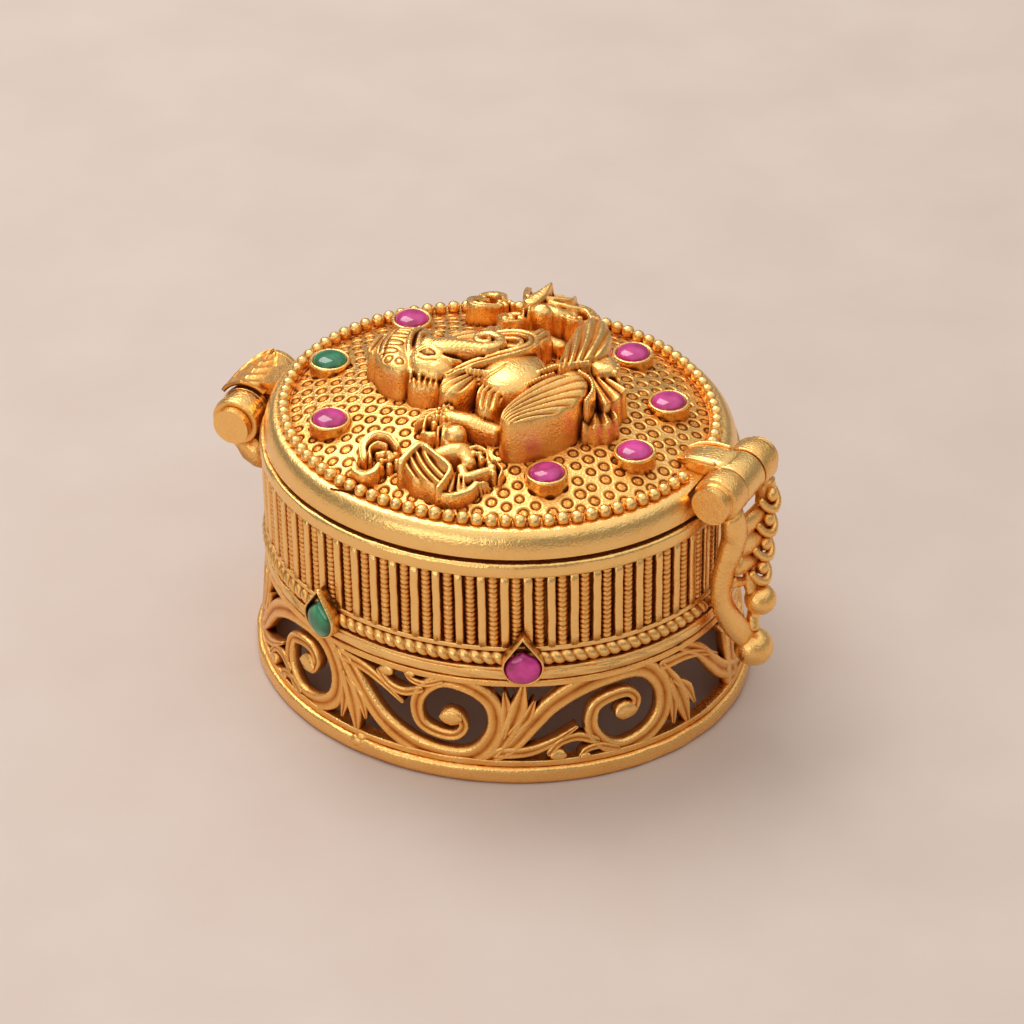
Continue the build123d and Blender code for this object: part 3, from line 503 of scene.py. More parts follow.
    def beads(self, points, radius, height, count):
        """Beads spread evenly along a curve."""
        line = smooth_line([list(p) for p in points], 12)
        length = np.concatenate([[0], np.cumsum(np.hypot(*np.diff(line, axis=0).T))])
        for k in range(count):
            at = length[-1] * k / max(count - 1, 1)
            self.bead(np.interp(at, length, line[:, 0]), np.interp(at, length, line[:, 1]), radius, height)

    def inside_of(self, outline):
        """Distance in from a smooth closed outline, below zero outside it."""
        points = np.asarray(outline, float)
        ring = smooth_line(np.vstack([points[-1:], points, points[:2]]), 8)[8:-8]
        best = np.full(self.X.shape, 1e9)
        within = np.zeros(self.X.shape, bool)
        for a, b in zip(ring[:-1], ring[1:]):
            best = np.minimum(best, near_piece(self.X, self.Y, a, b)[0])
            crosses = (a[1] > self.Y) != (b[1] > self.Y)
            with np.errstate(divide="ignore", invalid="ignore"):
                at = a[0] + (self.Y - a[1]) * (b[0] - a[0]) / (b[1] - a[1])
            within ^= crosses & (self.X < at)
        return np.where(within, best, -best)

    def build(self, name, body, material):
        """One mesh of the cells that stand above the dome, its rim sunk just into it."""
        self.Z = with_neighbours(self.Z)
        near = fine = self.Z
        for _ in range(6):
            fine = with_neighbours(fine)
        # painted shade: cells in the relief's hollows and cells marked dark are darkened, steep walls less;
        # cells under the dome get a little
        hollow = np.clip((fine - near) * 5.5, 0, 1)
        keep = near > self.base - 0.1
        rise_x, rise_y = np.gradient(near, self.step)
        wall = np.clip((np.hypot(rise_x, rise_y) - 6.0) / 6.0, 0, 1)
        cavity_shade = np.clip(self.dark + hollow, 0, 1) * (1 - 0.75 * wall)
        cavity_shade = np.where(keep, cavity_shade, 0.3)
        cell = keep[:-1, :-1] | keep[1:, :-1] | keep[:-1, 1:] | keep[1:, 1:]
        used = np.zeros_like(keep)
        used[:-1, :-1] |= cell
        used[1:, :-1] |= cell
        used[:-1, 1:] |= cell
        used[1:, 1:] |= cell
        index = np.full(keep.shape, -1)
        index[used] = np.arange(used.sum())
        z = np.maximum(near, self.base - RELIEF_FOOT)
        verts = np.stack([self.X[used], self.Y[used], z[used]], -1)
        ii, jj = np.nonzero(cell)
        faces = np.stack([index[ii, jj], index[ii + 1, jj], index[ii + 1, jj + 1], index[ii, jj + 1]], -1)
        return add_mesh(name, verts, faces.tolist(), body, material, cavity_shade[used])


def with_neighbours(z):
    """Heights averaged with the four next to them."""
    return (z + np.roll(z, 1, 0) + np.roll(z, -1, 0) + np.roll(z, 1, 1) + np.roll(z, -1, 1)) / 5


# The punched dome
def punched_field():
    """The domed field with staggered rows of small struck rings."""
    rows, cols = 215, 1080
    share = np.linspace(0.004, 1.0, rows) ** 0.9
    angles = np.linspace(0, 2 * np.pi, cols, endpoint=False)
    R, A = np.meshgrid(share, angles, indexing="ij")
    X = R * (HALF_LONG + DOME_OUTSET) * np.cos(A)
    Y = R * (HALF_WIDE + DOME_OUTSET) * np.sin(A)
    pitch, rise = 1.72, 1.5
    rng = np.random.default_rng(7)
    jitter = rng.uniform(-0.16, 0.16, (64, 64, 2))
    size = rng.uniform(0.9, 1.1, (64, 64))
    best = np.full(X.shape, 9.0)
    row = np.round(Y / rise).astype(int)
    for dr in (-1, 0, 1):
        r = row + dr
        shift = np.where(r % 2 == 0, 0.0, 0.5)
        col = np.round(X / pitch - shift).astype(int)
        for dc in (-1, 0, 1):
            c = col + dc
            j = jitter[r % 64, c % 64]
            cx = (c + shift) * pitch + j[..., 0]
            cy = r * rise + j[..., 1]
            d = np.hypot(X - cx, Y - cy) / size[r % 64, c % 64]
            best = np.minimum(best, d)
    ring = np.exp(-((best - 0.50) / 0.10) ** 2)
    middle = np.clip((0.46 - best) / 0.08, 0, 1)
    lip = np.exp(-((best - 0.70) / 0.09) ** 2)
    chatter = 0.014 * np.sin(X * 23 + Y * 9) * np.sin(X * 4.1 - Y * 3.3)
    mottle = np.sin(X * 19 + 3 * np.sin(Y * 7)) * np.sin(Y * 21 + 2 * np.sin(X * 9))
    edge = np.clip((1 - R) * 22 / 0.5, 0, 1)
    lift = (-0.15 * ring + 0.035 * lip + middle * (0.05 * mottle - 0.04) + chatter) * edge
    Z = dome(X, Y) + lift
    # painted shade in the struck rings' grooves and their sunk middles, varied by the mottle, with a little
    # over the whole field
    cavity_shade = np.clip(0.95 * ring + middle * (0.38 - 0.3 * mottle) + 0.06, 0, 1)
    verts = np.stack([X.ravel(), Y.ravel(), Z.ravel()], -1)
    faces = grid_faces(rows, cols, close_cols=True)
    crest = len(verts)
    verts = np.vstack([verts, [[0, 0, dome(0.0, 0.0)]]])
    faces += [[crest, j, (j + 1) % cols] for j in range(cols)]
    cavity_shade = np.append(cavity_shade.ravel(), 0.2)
    field = add_mesh("punched_field", verts, faces, "lid", GOLD, cavity_shade)
    dome_underside()
    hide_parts("lid_dome")


def dome_underside():
    """The lining that closes the dome from below."""
    part = Part()
    count, rings = 240, 24
    around = np.linspace(0, 2 * np.pi, count, endpoint=False)
    under = [on_wall(around, DOME_OUTSET, LEDGE_Z)]
    for share_in in np.linspace(1, 0.02, rings):
        x = share_in * (HALF_LONG + DOME_OUTSET - DOME_WALL) * np.cos(around)
        y = share_in * (HALF_WIDE + DOME_OUTSET - DOME_WALL) * np.sin(around)
        under.append(np.stack([x, y, np.maximum(dome(x, y) - DOME_WALL, LEDGE_Z + 0.02)], -1))
    middle = len(under) * count
    under.append([[0, 0, dome(0.0, 0.0) - DOME_WALL]])
    faces = grid_faces(rings + 1, count, close_cols=True)
    faces += [[middle, middle - count + (j + 1) % count, middle - count + j] for j in range(count)]
    # painted shade: the whole lining is darkened
    part.add(np.vstack(under), faces, 0.3)
    part.build("dome_underside", "lid", GOLD_SHADED_INSIDE)


def bead_ring():
    """Beads side by side on the ledge, left out under the clasp's strap."""
    random.seed(11)
    part = Part()
    for k in range(BEADS):
        angle = float(station((k + 0.5) / BEADS, BEAD_OUTSET))
        x, y, _ = on_wall(angle, BEAD_OUTSET, 0.0)
        if x > 0 and abs(y - CLASP[1]) < STRAP_HALF + BEAD_R + BEAD_GAP:
            continue
        r = 0.715 * random.uniform(0.95, 1.01)
        place = (x + random.uniform(-0.04, 0.04), y + random.uniform(-0.04, 0.04), LEDGE_Z + 0.42)
        ball(part, place, r, (1, 1, random.uniform(0.94, 1.0)), rings=9, around=16)
    beads = part.build("bead_ring", "lid", GOLD_SMOOTH)
    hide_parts("bead_border")


def stones():
    """Round settings on the dome, each a collar with a domed stone in it."""
    low = -0.45
    collars = Part()
    groups = {"pink": Part(), "green": Part()}
    for x, y, colour in STONES:
        foot = float(dome(np.array(x), np.array(y)))

        def place(p, x=x, y=y, foot=foot):
            # the collar's lower edge follows the dome, just under its surface
            if p[2] == low:
                return (x + p[0], y + p[1], float(dome(np.array(x + p[0]), np.array(y + p[1]))) - 0.3)
            return (x + p[0], y + p[1], foot + p[2])

        outer = STONE_R + 0.40
        profile = [(outer - 0.02, low), (outer, 0.1), (outer - 0.03, 0.7),
                   (outer + 0.02, COLLAR_HEIGHT - 0.22), (outer - 0.03, COLLAR_HEIGHT - 0.04),
                   (outer - 0.16, COLLAR_HEIGHT + 0.02), (outer - 0.31, COLLAR_HEIGHT - 0.03),
                   (STONE_R - 0.04, COLLAR_HEIGHT - 0.16), (STONE_R - 0.10, COLLAR_HEIGHT - 0.40),
                   (STONE_R - 0.12, low)]
        # painted shade inside the collar, darkest at its foot, and a little at its outer foot
        turned(collars, profile, place, 48, [0.2, 0.1, 0, 0, 0, 0, 0.2, 0.7, 0.9, 1], ring=True)
        gem = []
        girdle = COLLAR_HEIGHT - 0.15
        for i in range(9):
            a = math.pi / 2 * i / 8
            gem.append((STONE_R * math.cos(a) ** 0.85 if i < 8 else 0.02, girdle + 0.72 * math.sin(a)))
        gem = [(STONE_R - 0.15, girdle - 0.4)] + gem
        turned(groups[colour], gem, place, 40)
    made = collars.build("stone_bezels", "lid", GOLD_SMOOTH)
    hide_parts("stone_collars")
    pink = groups["pink"].build("cabochons_pink", "lid", PINK, slot="pink_glass")
    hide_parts("lid_stones_pink")
    green = groups["green"].build("cabochon_green", "lid", GREEN, slot="green_glass")
    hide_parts("lid_stone_green")


# The figure
def figure_crown(r):
    """Crown: ribbed end block, tapering cap with petals, bands and bosses."""
    r.patch([(-13.9, 0.9), (-14.1, -0.8), (-13.7, -2.4), (-12.4, -2.9), (-12.0, -0.6), (-12.4, 1.3)], 35.1,
            0.4, 0.6, (0.12, np.cos(2 * np.pi * r.X / 0.62)))
    crown = [(-12.7, 1.4), (-13.0, -0.8), (-12.5, -3.2), (-10.6, -5.3), (-8.2, -5.6), (-7.6, -3.0),
             (-7.8, 0.4), (-8.6, 2.9), (-10.9, 2.7)]
    r.patch(crown, 35.4, 1.5, 2.6)
    r.groove([(-12.2, 1.7), (-12.4, -0.9), (-11.9, -3.4)], 0.3, 0.22)
    r.groove([(-11.5, 2.1), (-11.7, -0.9), (-11.1, -4.1)], 0.22, 0.16)
    for y0, y1 in ((1.4, 0.6), (0.1, -0.8), (-1.3, -2.3), (-2.8, -3.7)):
        middle = (y0 + y1) / 2
        r.stroke([(-11.6, middle), (-10.4, middle + 0.1)], [0.9, 1.1],
                 [36.6 - 0.09 * (middle + 1) ** 2] * 2, bow=0.5)
        r.groove([(-11.5, y0), (-10.2, y0 - 0.1), (-9.8, middle), (-10.2, y1 + 0.1), (-11.5, y1)], 0.2,
                 0.16)
    for x, y, z in ((-10.3, -4.5, 35.9), (-9.0, -4.6, 36.0), (-9.9, 2.5, 36.0)):
        r.boss(x, y, 0.72, 0.66, z - 0.2, z + 0.25)
        ring = [(x + 0.44 * math.cos(a), y + 0.40 * math.sin(a)) for a in np.linspace(0, 6.28, 9)]
        r.groove(ring, 0.2, 0.14)
        r.bead(x, y, 0.24, z + 0.22)
    for shift in (0.0, 0.95):
        r.stroke([(-9.8 + shift, 2.6 - 0.3 * shift), (-9.75 + shift, 0.4), (-9.0 + shift, -2.2),
                  (-7.5 + shift, -5.2)], [0.6, 0.65, 0.65, 0.6], [36.2, 37.2, 37.2, 35.9], bow=0.7)
    r.groove([(-9.35, 2.3), (-9.3, 0.4), (-8.5, -2.2), (-7.1, -5.0)], 0.26, 0.2)


def figure_head(r):
    """Head, cheek, ears and eyes."""
    r.boss(-6.2, -1.5, 2.9, 3.7, 35.3, 37.5, turn=-10, power=0.7)
    r.boss(-5.2, -3.6, 2.0, 1.6, 35.2, 37.0, turn=20)
    r.patch([(-7.3, 2.0), (-5.8, 4.3), (-3.6, 4.6), (-2.9, 3.0), (-4.2, 1.6), (-6.0, 1.2)], 35.2, 1.2, 1.5,
            (0.1, r.fan((-7.2, 0.6), 13)))
    r.patch([(-7.7, -5.4), (-7.0, -6.5), (-5.2, -6.5), (-3.9, -5.8), (-4.4, -4.6), (-6.2, -4.7)], 34.6, 0.9,
            0.8, (0.14, np.cos(2 * np.pi * (r.X + 0.3 * r.Y) / 0.62)))
    for y, way in ((-3.0, 1), (0.5, -1)):
        x = -6.5 if way > 0 else -7.0
        r.boss(x, y, 0.85, 0.6, 37.0, 37.5, turn=12)
        r.groove([(x - 0.9, y), (x - 0.1, y + 0.5), (x + 0.8, y - 0.05), (x - 0.1, y - 0.45), (x - 0.9, y)],
                 0.2, 0.2, 1.0)
        r.bead(x - 0.05, y, 0.24, 37.42)
        r.groove([(x - 1.2, y + 0.2 * way), (x - 0.4, y + 0.95 * way), (x + 0.9, y + 0.8 * way)], 0.2, 0.12)
        r.groove([(x - 0.9, y - 0.8 * way), (x + 0.1, y - 1.1 * way), (x + 1.2, y - 0.7 * way)], 0.18, 0.10)


def figure_body(r):
    """Chest, belly and the beads on them."""
    r.boss(-1.2, -0.4, 3.2, 4.4, 35.2, 36.5, power=0.8)
    r.boss(2.5, -1.8, 3.5, 3.9, 35.2, 37.4, power=0.75)
    r.boss(1.0, 2.4, 2.6, 2.6, 35.2, 36.7, power=0.8)
    r.beads([(-3.0, -4.3), (-1.4, -3.7), (0.2, -3.4), (1.2, -2.6)], 0.24, 36.65, 12)
    for drop in (0.0, 0.55):
        r.groove([(-1.4, -4.4 - drop), (0.0, -4.1 - drop), (1.2, -3.2 - drop), (1.8, -2.1 - drop)], 0.2,
                 0.13, 0.6)
    r.groove([(4.2, 0.6), (5.2, -0.6), (5.6, -2.2), (5.2, -4.0)], 0.3, 0.16, 0.5)


def figure_arm(r, side):
    """Striped sleeve, forearm and bracelets. The near side is -1, and the far arm is smaller."""
    def flip(points):
        return [(x, y if side < 0 else -y * 0.92 - 0.3) for x, y in points]

    source = flip([(-0.6, -2.2)])[0]
    r.patch(flip([(-4.1, -5.5), (-3.4, -3.2), (-1.5, -2.6), (-0.2, -4.4), (-1.3, -6.9), (-3.1, -7.5)]),
            35.1, 1.2, 1.6, (0.15, r.fan(source, 13, 1.0)), rim=0.1)
    r.patch(flip([(-0.2, -4.3), (0.6, -3.1), (2.4, -4.1), (3.2, -6.2), (2.9, -8.4), (1.5, -8.7),
                  (0.2, -6.6)]), 34.9,
            1.2, 1.3, (0.15, np.cos(2 * np.pi * (r.X - 0.25 * abs(r.Y + 6)) / 0.78)), rim=0.1)
    r.stroke(flip([(-0.2, -3.9), (1.0, -4.9), (2.4, -5.0), (3.2, -4.9)]), [0.5, 0.55, 0.55, 0.4],
             [36.1, 36.6, 36.6, 36.0], bow=0.7)
    r.stroke(flip([(-1.7, -8.6), (0.9, -9.0), (3.4, -9.1)]), [2.0, 2.3, 1.7], [34.6, 34.9, 34.4], bow=0.8)
    for x in (-1.9, -2.7):
        r.beads(flip([(x, -9.6), (x - 0.35, -8.6), (x, -7.7)]), 0.34, 34.25, 4)
    r.stroke(flip([(-2.2, -9.9), (-2.5, -8.6), (-2.2, -7.4)]), [0.3, 0.3], [34.75, 34.75])
    for k in range(4):
        r.stroke(flip([(-3.3, -7.6 - 0.55 * k), (-4.3, -7.9 - 0.6 * k), (-4.9, -8.6 - 0.5 * k)]),
                 [0.5, 0.45, 0.3], [33.9, 33.8, 33.5])


def figure_garland(r):
    """Garland that loops from the cheek round the belly."""
    loop = [(-3.6, -4.9), (-1.7, -3.0), (0.6, -1.2), (2.3, 0.3), (3.0, 1.9), (2.4, 3.4), (0.7, 4.1),
            (-1.2, 3.8), (-3.0, 3.1)]
    r.stroke(loop, [0.8, 1.15, 1.25, 1.3, 1.3, 1.25, 1.2, 1.1, 0.8],
             [36.5, 37.2, 37.7, 37.9, 37.8, 37.6, 37.3, 37.0, 36.5], edge=0.10, bow=0.5)
    r.groove(loop, 0.28, 0.14, 0.7)
    r.stroke([(-0.6, 2.7), (0.8, 2.9), (1.7, 2.2), (1.5, 1.2), (0.5, 0.9)], [0.7, 0.75, 0.7, 0.65, 0.5],
             [37.1, 37.3, 37.5, 37.5, 37.5], bow=0.6)
    r.groove([(-0.2, 2.0), (0.6, 2.2), (1.0, 1.7)], 0.3, 0.2)


def figure_trunk(r):
    """Trunk: from the brow down the middle, curling on itself at the end."""
    trunk = [(-7.0, -1.0), (-5.4, -1.3), (-3.8, -1.1), (-2.4, -1.0), (-0.9, -0.85), (0.0, 0.1), (-0.4, 1.3),
             (-1.7, 1.7), (-2.6, 0.9), (-2.1, 0.0), (-1.2, 0.2), (-1.3, 0.8)]
    r.stroke(trunk, [3.2, 2.6, 2.1, 1.7, 1.5, 1.4, 1.3, 1.2, 1.1, 0.95, 0.8, 0.6],
             [37.6, 38.0, 38.15, 38.2, 38.3, 38.3, 38.25, 38.15, 38.1, 38.1, 38.1, 38.1], bow=0.75)
    for k, x in enumerate(np.arange(-5.4, -1.4, 0.55)):
        r.groove([(x + 0.1, -2.2 + 0.12 * k), (x + 0.3, -1.1), (x + 0.05, -0.1 - 0.05 * k)], 0.16, 0.07,
                 0.4)
    r.groove([(-4.9, -2.6), (-3.6, -2.2), (-2.2, -1.95), (-0.8, -1.8)], 0.26, 0.25, 0.9)
    r.stroke([(-5.0, -2.9), (-3.9, -3.0), (-2.9, -2.6)], [0.7, 0.6, 0.25], [37.2, 37.1, 36.9])


def figure_legs(r):
    """Crossed shins and the two knees, folded cloth fanned over them."""
    r.boss(7.4, 0.2, 2.4, 1.7, 35.1, 36.3)
    near = [(4.4, -9.9), (4.5, -7.6), (5.2, -4.7), (6.3, -2.4), (7.9, -0.8), (9.7, -0.7), (10.9, -2.3),
            (11.1, -4.7), (10.2, -7.5), (8.3, -9.9), (6.2, -11.3), (4.9, -11.1)]
    r.patch(near, 36.3, 0.75, 1.5, (0.17, r.fan((4.4, -13.4), 6.6, 1.3)))
    far = [(6.7, -0.5), (5.9, 3.0), (5.6, 7.0), (6.3, 9.7), (7.6, 9.9), (9.2, 8.3), (10.2, 5.9),
           (10.2, 3.8), (9.0, 2.2), (7.8, 0.4)]
    r.patch(far, 36.5, 0.8, 1.4, (0.17, r.fan((8.2, -4.6), 6.4, -1.0)))
    r.beads([(5.2, -1.6), (6.4, 0.0), (7.8, 1.0), (9.2, 1.9)], 0.27, 36.75, 15)
    r.beads([(8.9, 0.2), (10.4, -0.7), (11.4, -2.5), (11.5, -4.6)], 0.29, 36.5, 15)
    r.beads([(4.9, -4.0), (5.6, -2.6), (6.6, -1.2)], 0.24, 36.6, 9)


def figure_cloth_and_foot(r):
    """Pleated fall of cloth in two tiers, and the foot with its toes."""
    fall = [(9.3, 1.9), (10.9, 2.6), (12.5, 2.2), (13.7, 0.6), (13.7, -1.2), (12.9, -2.7), (11.9, -2.4),
            (10.4, -0.6)]
    wave = r.fan((8.4, 3.2), 13)
    # painted shade in the valleys of the pleats
    r.put(r.inside_of(fall) + 0.16 * wave, 35.25 + 0.2 * wave, np.clip(-wave, 0, 1) * 0.8)
    lower = [(10.5, -0.8), (12.0, -2.4), (13.6, -2.0), (14.3, -3.4), (13.2, -5.0), (11.6, -5.6),
             (11.0, -3.4)]
    wave = r.fan((9.8, 1.4), 11)
    # painted shade in the valleys of the pleats
    r.put(r.inside_of(lower) + 0.14 * wave, 34.2 + 0.18 * wave, np.clip(-wave, 0, 1) * 0.8)
    r.patch([(8.6, 3.5), (9.5, 4.6), (11.0, 4.7), (11.9, 3.5), (11.9, 2.3), (10.6, 1.6), (9.2, 2.1)], 35.5,
            0.9, 1.0)
    for x, y in ((10.7, 4.75), (11.3, 4.35), (11.7, 3.75), (11.95, 3.1), (11.95, 2.45)):
        r.stroke([(x - 0.7, y - 0.3), (x, y)], [0.5, 0.5], [36.0, 35.9])
        r.bead(x, y, 0.34, 35.75)
    r.stroke([(8.9, 3.6), (9.2, 2.8), (9.3, 2.0)], [0.4, 0.4], [36.4, 36.4])


def seated_figure():
    """The seated elephant-headed figure in relief, its crown towards the hinge."""
    r = Relief((-14.6, -12.4), (14.8, 11.4), 0.08)
    figure_crown(r)
    figure_head(r)
    figure_body(r)
    for side in (-1, 1):
        figure_arm(r, side)
    figure_garland(r)
    figure_trunk(r)
    figure_legs(r)
    figure_cloth_and_foot(r)
    figure = r.build("seated_figure", "lid", GOLD)
    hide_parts("deity_figure")


def attendant_group(side):
    """A small attendant beside the figure: banded skirt, bent arms with bangles, a fan and a lamp dish."""
    low = (-10.4, -19.2) if side < 0 else (-10.4, 7.2)
    high = (7.4, -7.2) if side < 0 else (7.4, 19.2)
    r = Relief(low, high, 0.085)
    tall = 0.0 if side < 0 else 1.1

    def at(x, y, up):
        return float(dome(np.array(x), np.array(y))) + up

    def line(points, widths, ups, **kw):
        points = [(x, side * y) for x, y in points]
        heights = [at(x, y, u + tall) for (x, y), u in zip(points, np.interp(
            np.linspace(0, 1, len(points)), np.linspace(0, 1, len(ups)), ups))]
        r.stroke(points, widths, heights, **kw)

    def pearl(x, y, radius, up):
        r.bead(x, side * y, radius, at(x, side * y, up + tall))

    # fan on its stick, crescent dish below it
    line([(-8.3, 15.6), (-9.0, 14.0), (-8.3, 12.6), (-6.8, 12.5), (-5.4, 13.5)], [0.9, 1.0, 1.0, 0.9, 0.7],
         [1.4, 1.6, 1.6, 1.5, 1.3], edge=0.12, bow=0.5)
    line([(-7.6, 15.4), (-8.1, 14.3), (-7.6, 13.5), (-6.6, 13.5)], [0.5, 0.5, 0.5, 0.4],
         [1.3, 1.4, 1.4, 1.2])
    line([(-7.2, 14.4), (-6.4, 14.2), (-5.6, 14.7)], [0.8, 0.9, 0.7], [0.9, 1.0, 1.0])
    for x, y in ((-6.3, 15.4), (-5.6, 15.0), (-6.0, 14.4), (-5.3, 15.8), (-6.1, 16.2), (-5.2, 14.4),
                 (-4.7, 15.2)):
        pearl(x, y, 0.42, 0.8)
    line([(-8.9, 16.4), (-8.4, 17.2), (-7.4, 17.5), (-6.5, 17.0), (-6.3, 16.2)], [0.6, 1.0, 1.2, 1.0, 0.6],
         [1.5, 1.5, 1.5, 1.5, 1.5], bow=0.35)
    # skirt: a tall banded lozenge with slanting pleats in its hollow
    corners = [(-3.7, 16.6), (-2.5, 14.0), (1.6, 15.9), (1.3, 18.3), (-1.8, 18.0)]
    p = np.array([(x, side * y) for x, y in corners])
    centre = p.mean(0)
    inside = np.full(r.X.shape, 9.0)
    for i in range(len(p)):
        a, b = p[i], p[(i + 1) % len(p)]
        n = np.array([b[1] - a[1], a[0] - b[0]])
        n /= np.linalg.norm(n)
        if np.dot(centre - a, n) < 0:
            n = -n
        inside = np.minimum(inside, (r.X - a[0]) * n[0] + (r.Y - a[1]) * n[1])
    u, v = r.frame_of(centre[0], centre[1], 38 * side)
    wave = np.cos(2 * math.pi * (v + 0.05 * u * u * side) / 0.72)
    # painted shade in the pleat valleys, and a little over the whole skirt
    r.put(inside, r.base + tall + 2.2 + 0.16 * wave, np.clip(-wave - 0.2, 0, 1) * 0.9 + 0.1)
    line([(-3.5, 17.0), (-3.55, 16.5), (-2.6, 14.2), (-0.6, 15.0), (1.4, 16.0), (1.5, 17.2), (1.1, 18.4)],
         [0.7, 0.8, 0.75, 0.65, 0.65, 0.6, 0.6], [2.75, 2.85, 2.8, 2.75, 2.7, 2.6, 2.4], bow=0.5)
    for x0, x1 in ((1.9, 2.0), (2.4, 2.9), (2.9, 3.6)):
        line([(x0, 16.0), ((x0 + x1) / 2 + 0.1, 17.0), (x1, 17.8 - (x1 - 2) * 0.5)], [0.4, 0.6, 0.5],
             [1.8, 1.6, 1.3])
    line([(1.2, 18.3), (2.6, 17.9), (3.8, 16.9), (4.2, 15.9)], [0.6, 0.9, 1.0, 0.8], [1.5, 1.5, 1.4, 1.3],
         bow=0.5)
    for k in range(4):
        line([(4.1 + 0.25 * k, 15.9 - 0.1 * k), (4.5 + 0.28 * k, 16.3 - 0.3 * k)], [0.3, 0.26], [1.35, 1.1])
    # body, shoulder, neck and head
    line([(-1.2, 14.4), (0.2, 13.4), (1.4, 13.0), (2.6, 13.9)], [1.6, 2.2, 2.1, 1.6], [2.0, 2.3, 2.3, 1.9])
    line([(2.2, 14.9), (3.0, 15.6), (4.2, 14.6), (5.0, 13.9)], [1.2, 1.2, 1.1, 0.9], [1.8, 1.7, 1.6, 1.5])
    line([(-0.4, 12.4), (0.6, 12.0)], [1.1, 1.1], [2.0, 2.0])
    x, y = 0.1, 11.5
    base = at(x, side * y, tall)
    r.boss(x, side * y, 1.25, 1.15, base + 1.5, base + 2.75, power=0.7)
    r.stroke([(x - 0.2, side * y), (x + 0.5, side * (y + 0.02))], [0.26, 0.3], [base + 2.85, base + 2.95],
             bow=0.5)
    for s in (-1, 1):
        r.stroke([(x - 0.25, side * y + 0.22 * s), (x - 0.2, side * y + 0.55 * s)], [0.16, 0.14],
                 [base + 2.8, base + 2.6], bow=0.4)
    r.stroke([(x + 0.78, side * y - 0.22), (x + 0.78, side * y + 0.22)], [0.16, 0.16],
             [base + 2.5, base + 2.5], bow=0.4)
    line([(-0.9, 12.4), (-1.15, 11.4), (-0.9, 10.5)], [0.5, 0.55, 0.5], [2.3, 2.6, 2.3])
    line([(-1.5, 12.2), (-1.8, 11.3), (-1.5, 10.4)], [0.4, 0.5, 0.4], [1.9, 2.2, 1.9])
    # raised hand with its bangle, and the other arm
    line([(-3.7, 10.8), (-3.9, 9.4), (-2.9, 8.5), (-1.6, 8.9), (-1.2, 10.2)], [0.45, 0.5, 0.5, 0.5, 0.4],
         [1.4, 1.6, 1.7, 1.6, 1.5], bow=0.6)
    for x, y in ((-3.1, 9.3), (-2.4, 9.4), (-1.7, 10.0), (-2.8, 10.1)):
        pearl(x, y, 0.44, 1.2)
    line([(-3.5, 11.2), (-2.8, 11.4), (-1.9, 11.3)], [0.9, 1.0, 0.8], [1.2, 1.4, 1.5])
    line([(2.0, 12.6), (2.8, 12.1), (3.8, 12.3), (4.3, 13.1)], [0.6, 0.5, 0.5, 0.45], [1.8, 1.8, 1.7, 1.5],
         bow=0.6)
    for x, y in ((2.7, 12.9), (3.3, 12.8), (3.7, 13.3)):
        pearl(x, y, 0.4, 1.4)
    for x, y in ((4.6, 13.4), (5.1, 13.7), (5.4, 14.3)):
        pearl(x, y, 0.38, 1.2)
    line([(5.3, 12.9), (6.0, 13.5), (6.1, 14.5)], [0.4, 0.45, 0.4], [1.2, 1.3, 1.2], bow=0.6)
    line([(4.3, 13.0), (4.9, 12.6)], [0.5, 0.4], [1.3, 1.2])
    if side > 0:
        line([(-1.9, 13.4), (-1.3, 15.0), (-0.9, 16.9)], [1.7, 1.3, 0.4], [2.6, 3.2, 4.0], bow=0.5)
        line([(-0.6, 14.9), (1.6, 14.4), (3.6, 14.9), (4.8, 13.8)], [0.7, 0.7, 0.7, 0.6],
             [2.4, 2.5, 2.3, 2.0], bow=0.5)
    name = "attendant_left" if side < 0 else "attendant_right"
    group = r.build(name, "lid", GOLD)
    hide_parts("attendant_near" if side < 0 else "attendant_far")


# The cup's wall, ring by ring
def clear_of_hinge(points):
    """Moves points out of the recess in the rim that the hinge barrels stand in."""
    near = (points[..., 0] < RECESS_X) & (np.abs(points[..., 1]) < RECESS_HALF)
    points[..., 0] = np.where(near, np.maximum(points[..., 0], -25.15), points[..., 0])
    return points


def base_and_moulding():
    part = Part()
    ring_sweep(part, rounded([(-0.25, 0.0), (2.02, 0.0), (2.02, BASE_TOP), (-0.25, BASE_TOP)], 0.5), 0.05,
               2)
    # a rough blob of solder on the near side
    for s, z, size in ((-7.6, 1.1, 0.75), (-6.7, 1.3, 0.95), (-5.9, 1.0, 0.8), (-6.3, 1.9, 0.6),
                       (-5.1, 0.8, 0.65), (-7.0, 0.6, 0.6)):
        x, y, _ = on_wall(float(along(s, 1.6)), 1.45, 0.0)
        ball(part, (x, y, max(z, size * 0.8)), size, (1.2, 0.75, 0.8), cavity_shade=0.15)
    part.verts = [[x, y, max(z, 0.0)] for x, y, z in part.verts]
    base = part.build("base_band", "box", GOLD)
    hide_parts("base_ring")
    part = Part()
    outline = [(-0.65, 12.22), (0.36, 12.22), (0.50, 12.45), (0.57, 12.9), (0.50, 13.32), (0.38, 13.46),
               (0.42, 13.52), (0.58, 13.56), (0.60, 13.72), (0.56, 13.88), (-0.65, 13.88)]
    ring_sweep(part, rounded(outline, 0.06), 0.03, 3)
    made = part.build("moulding_band", "box", GOLD_SMOOTH)
    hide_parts("moulding_ring")


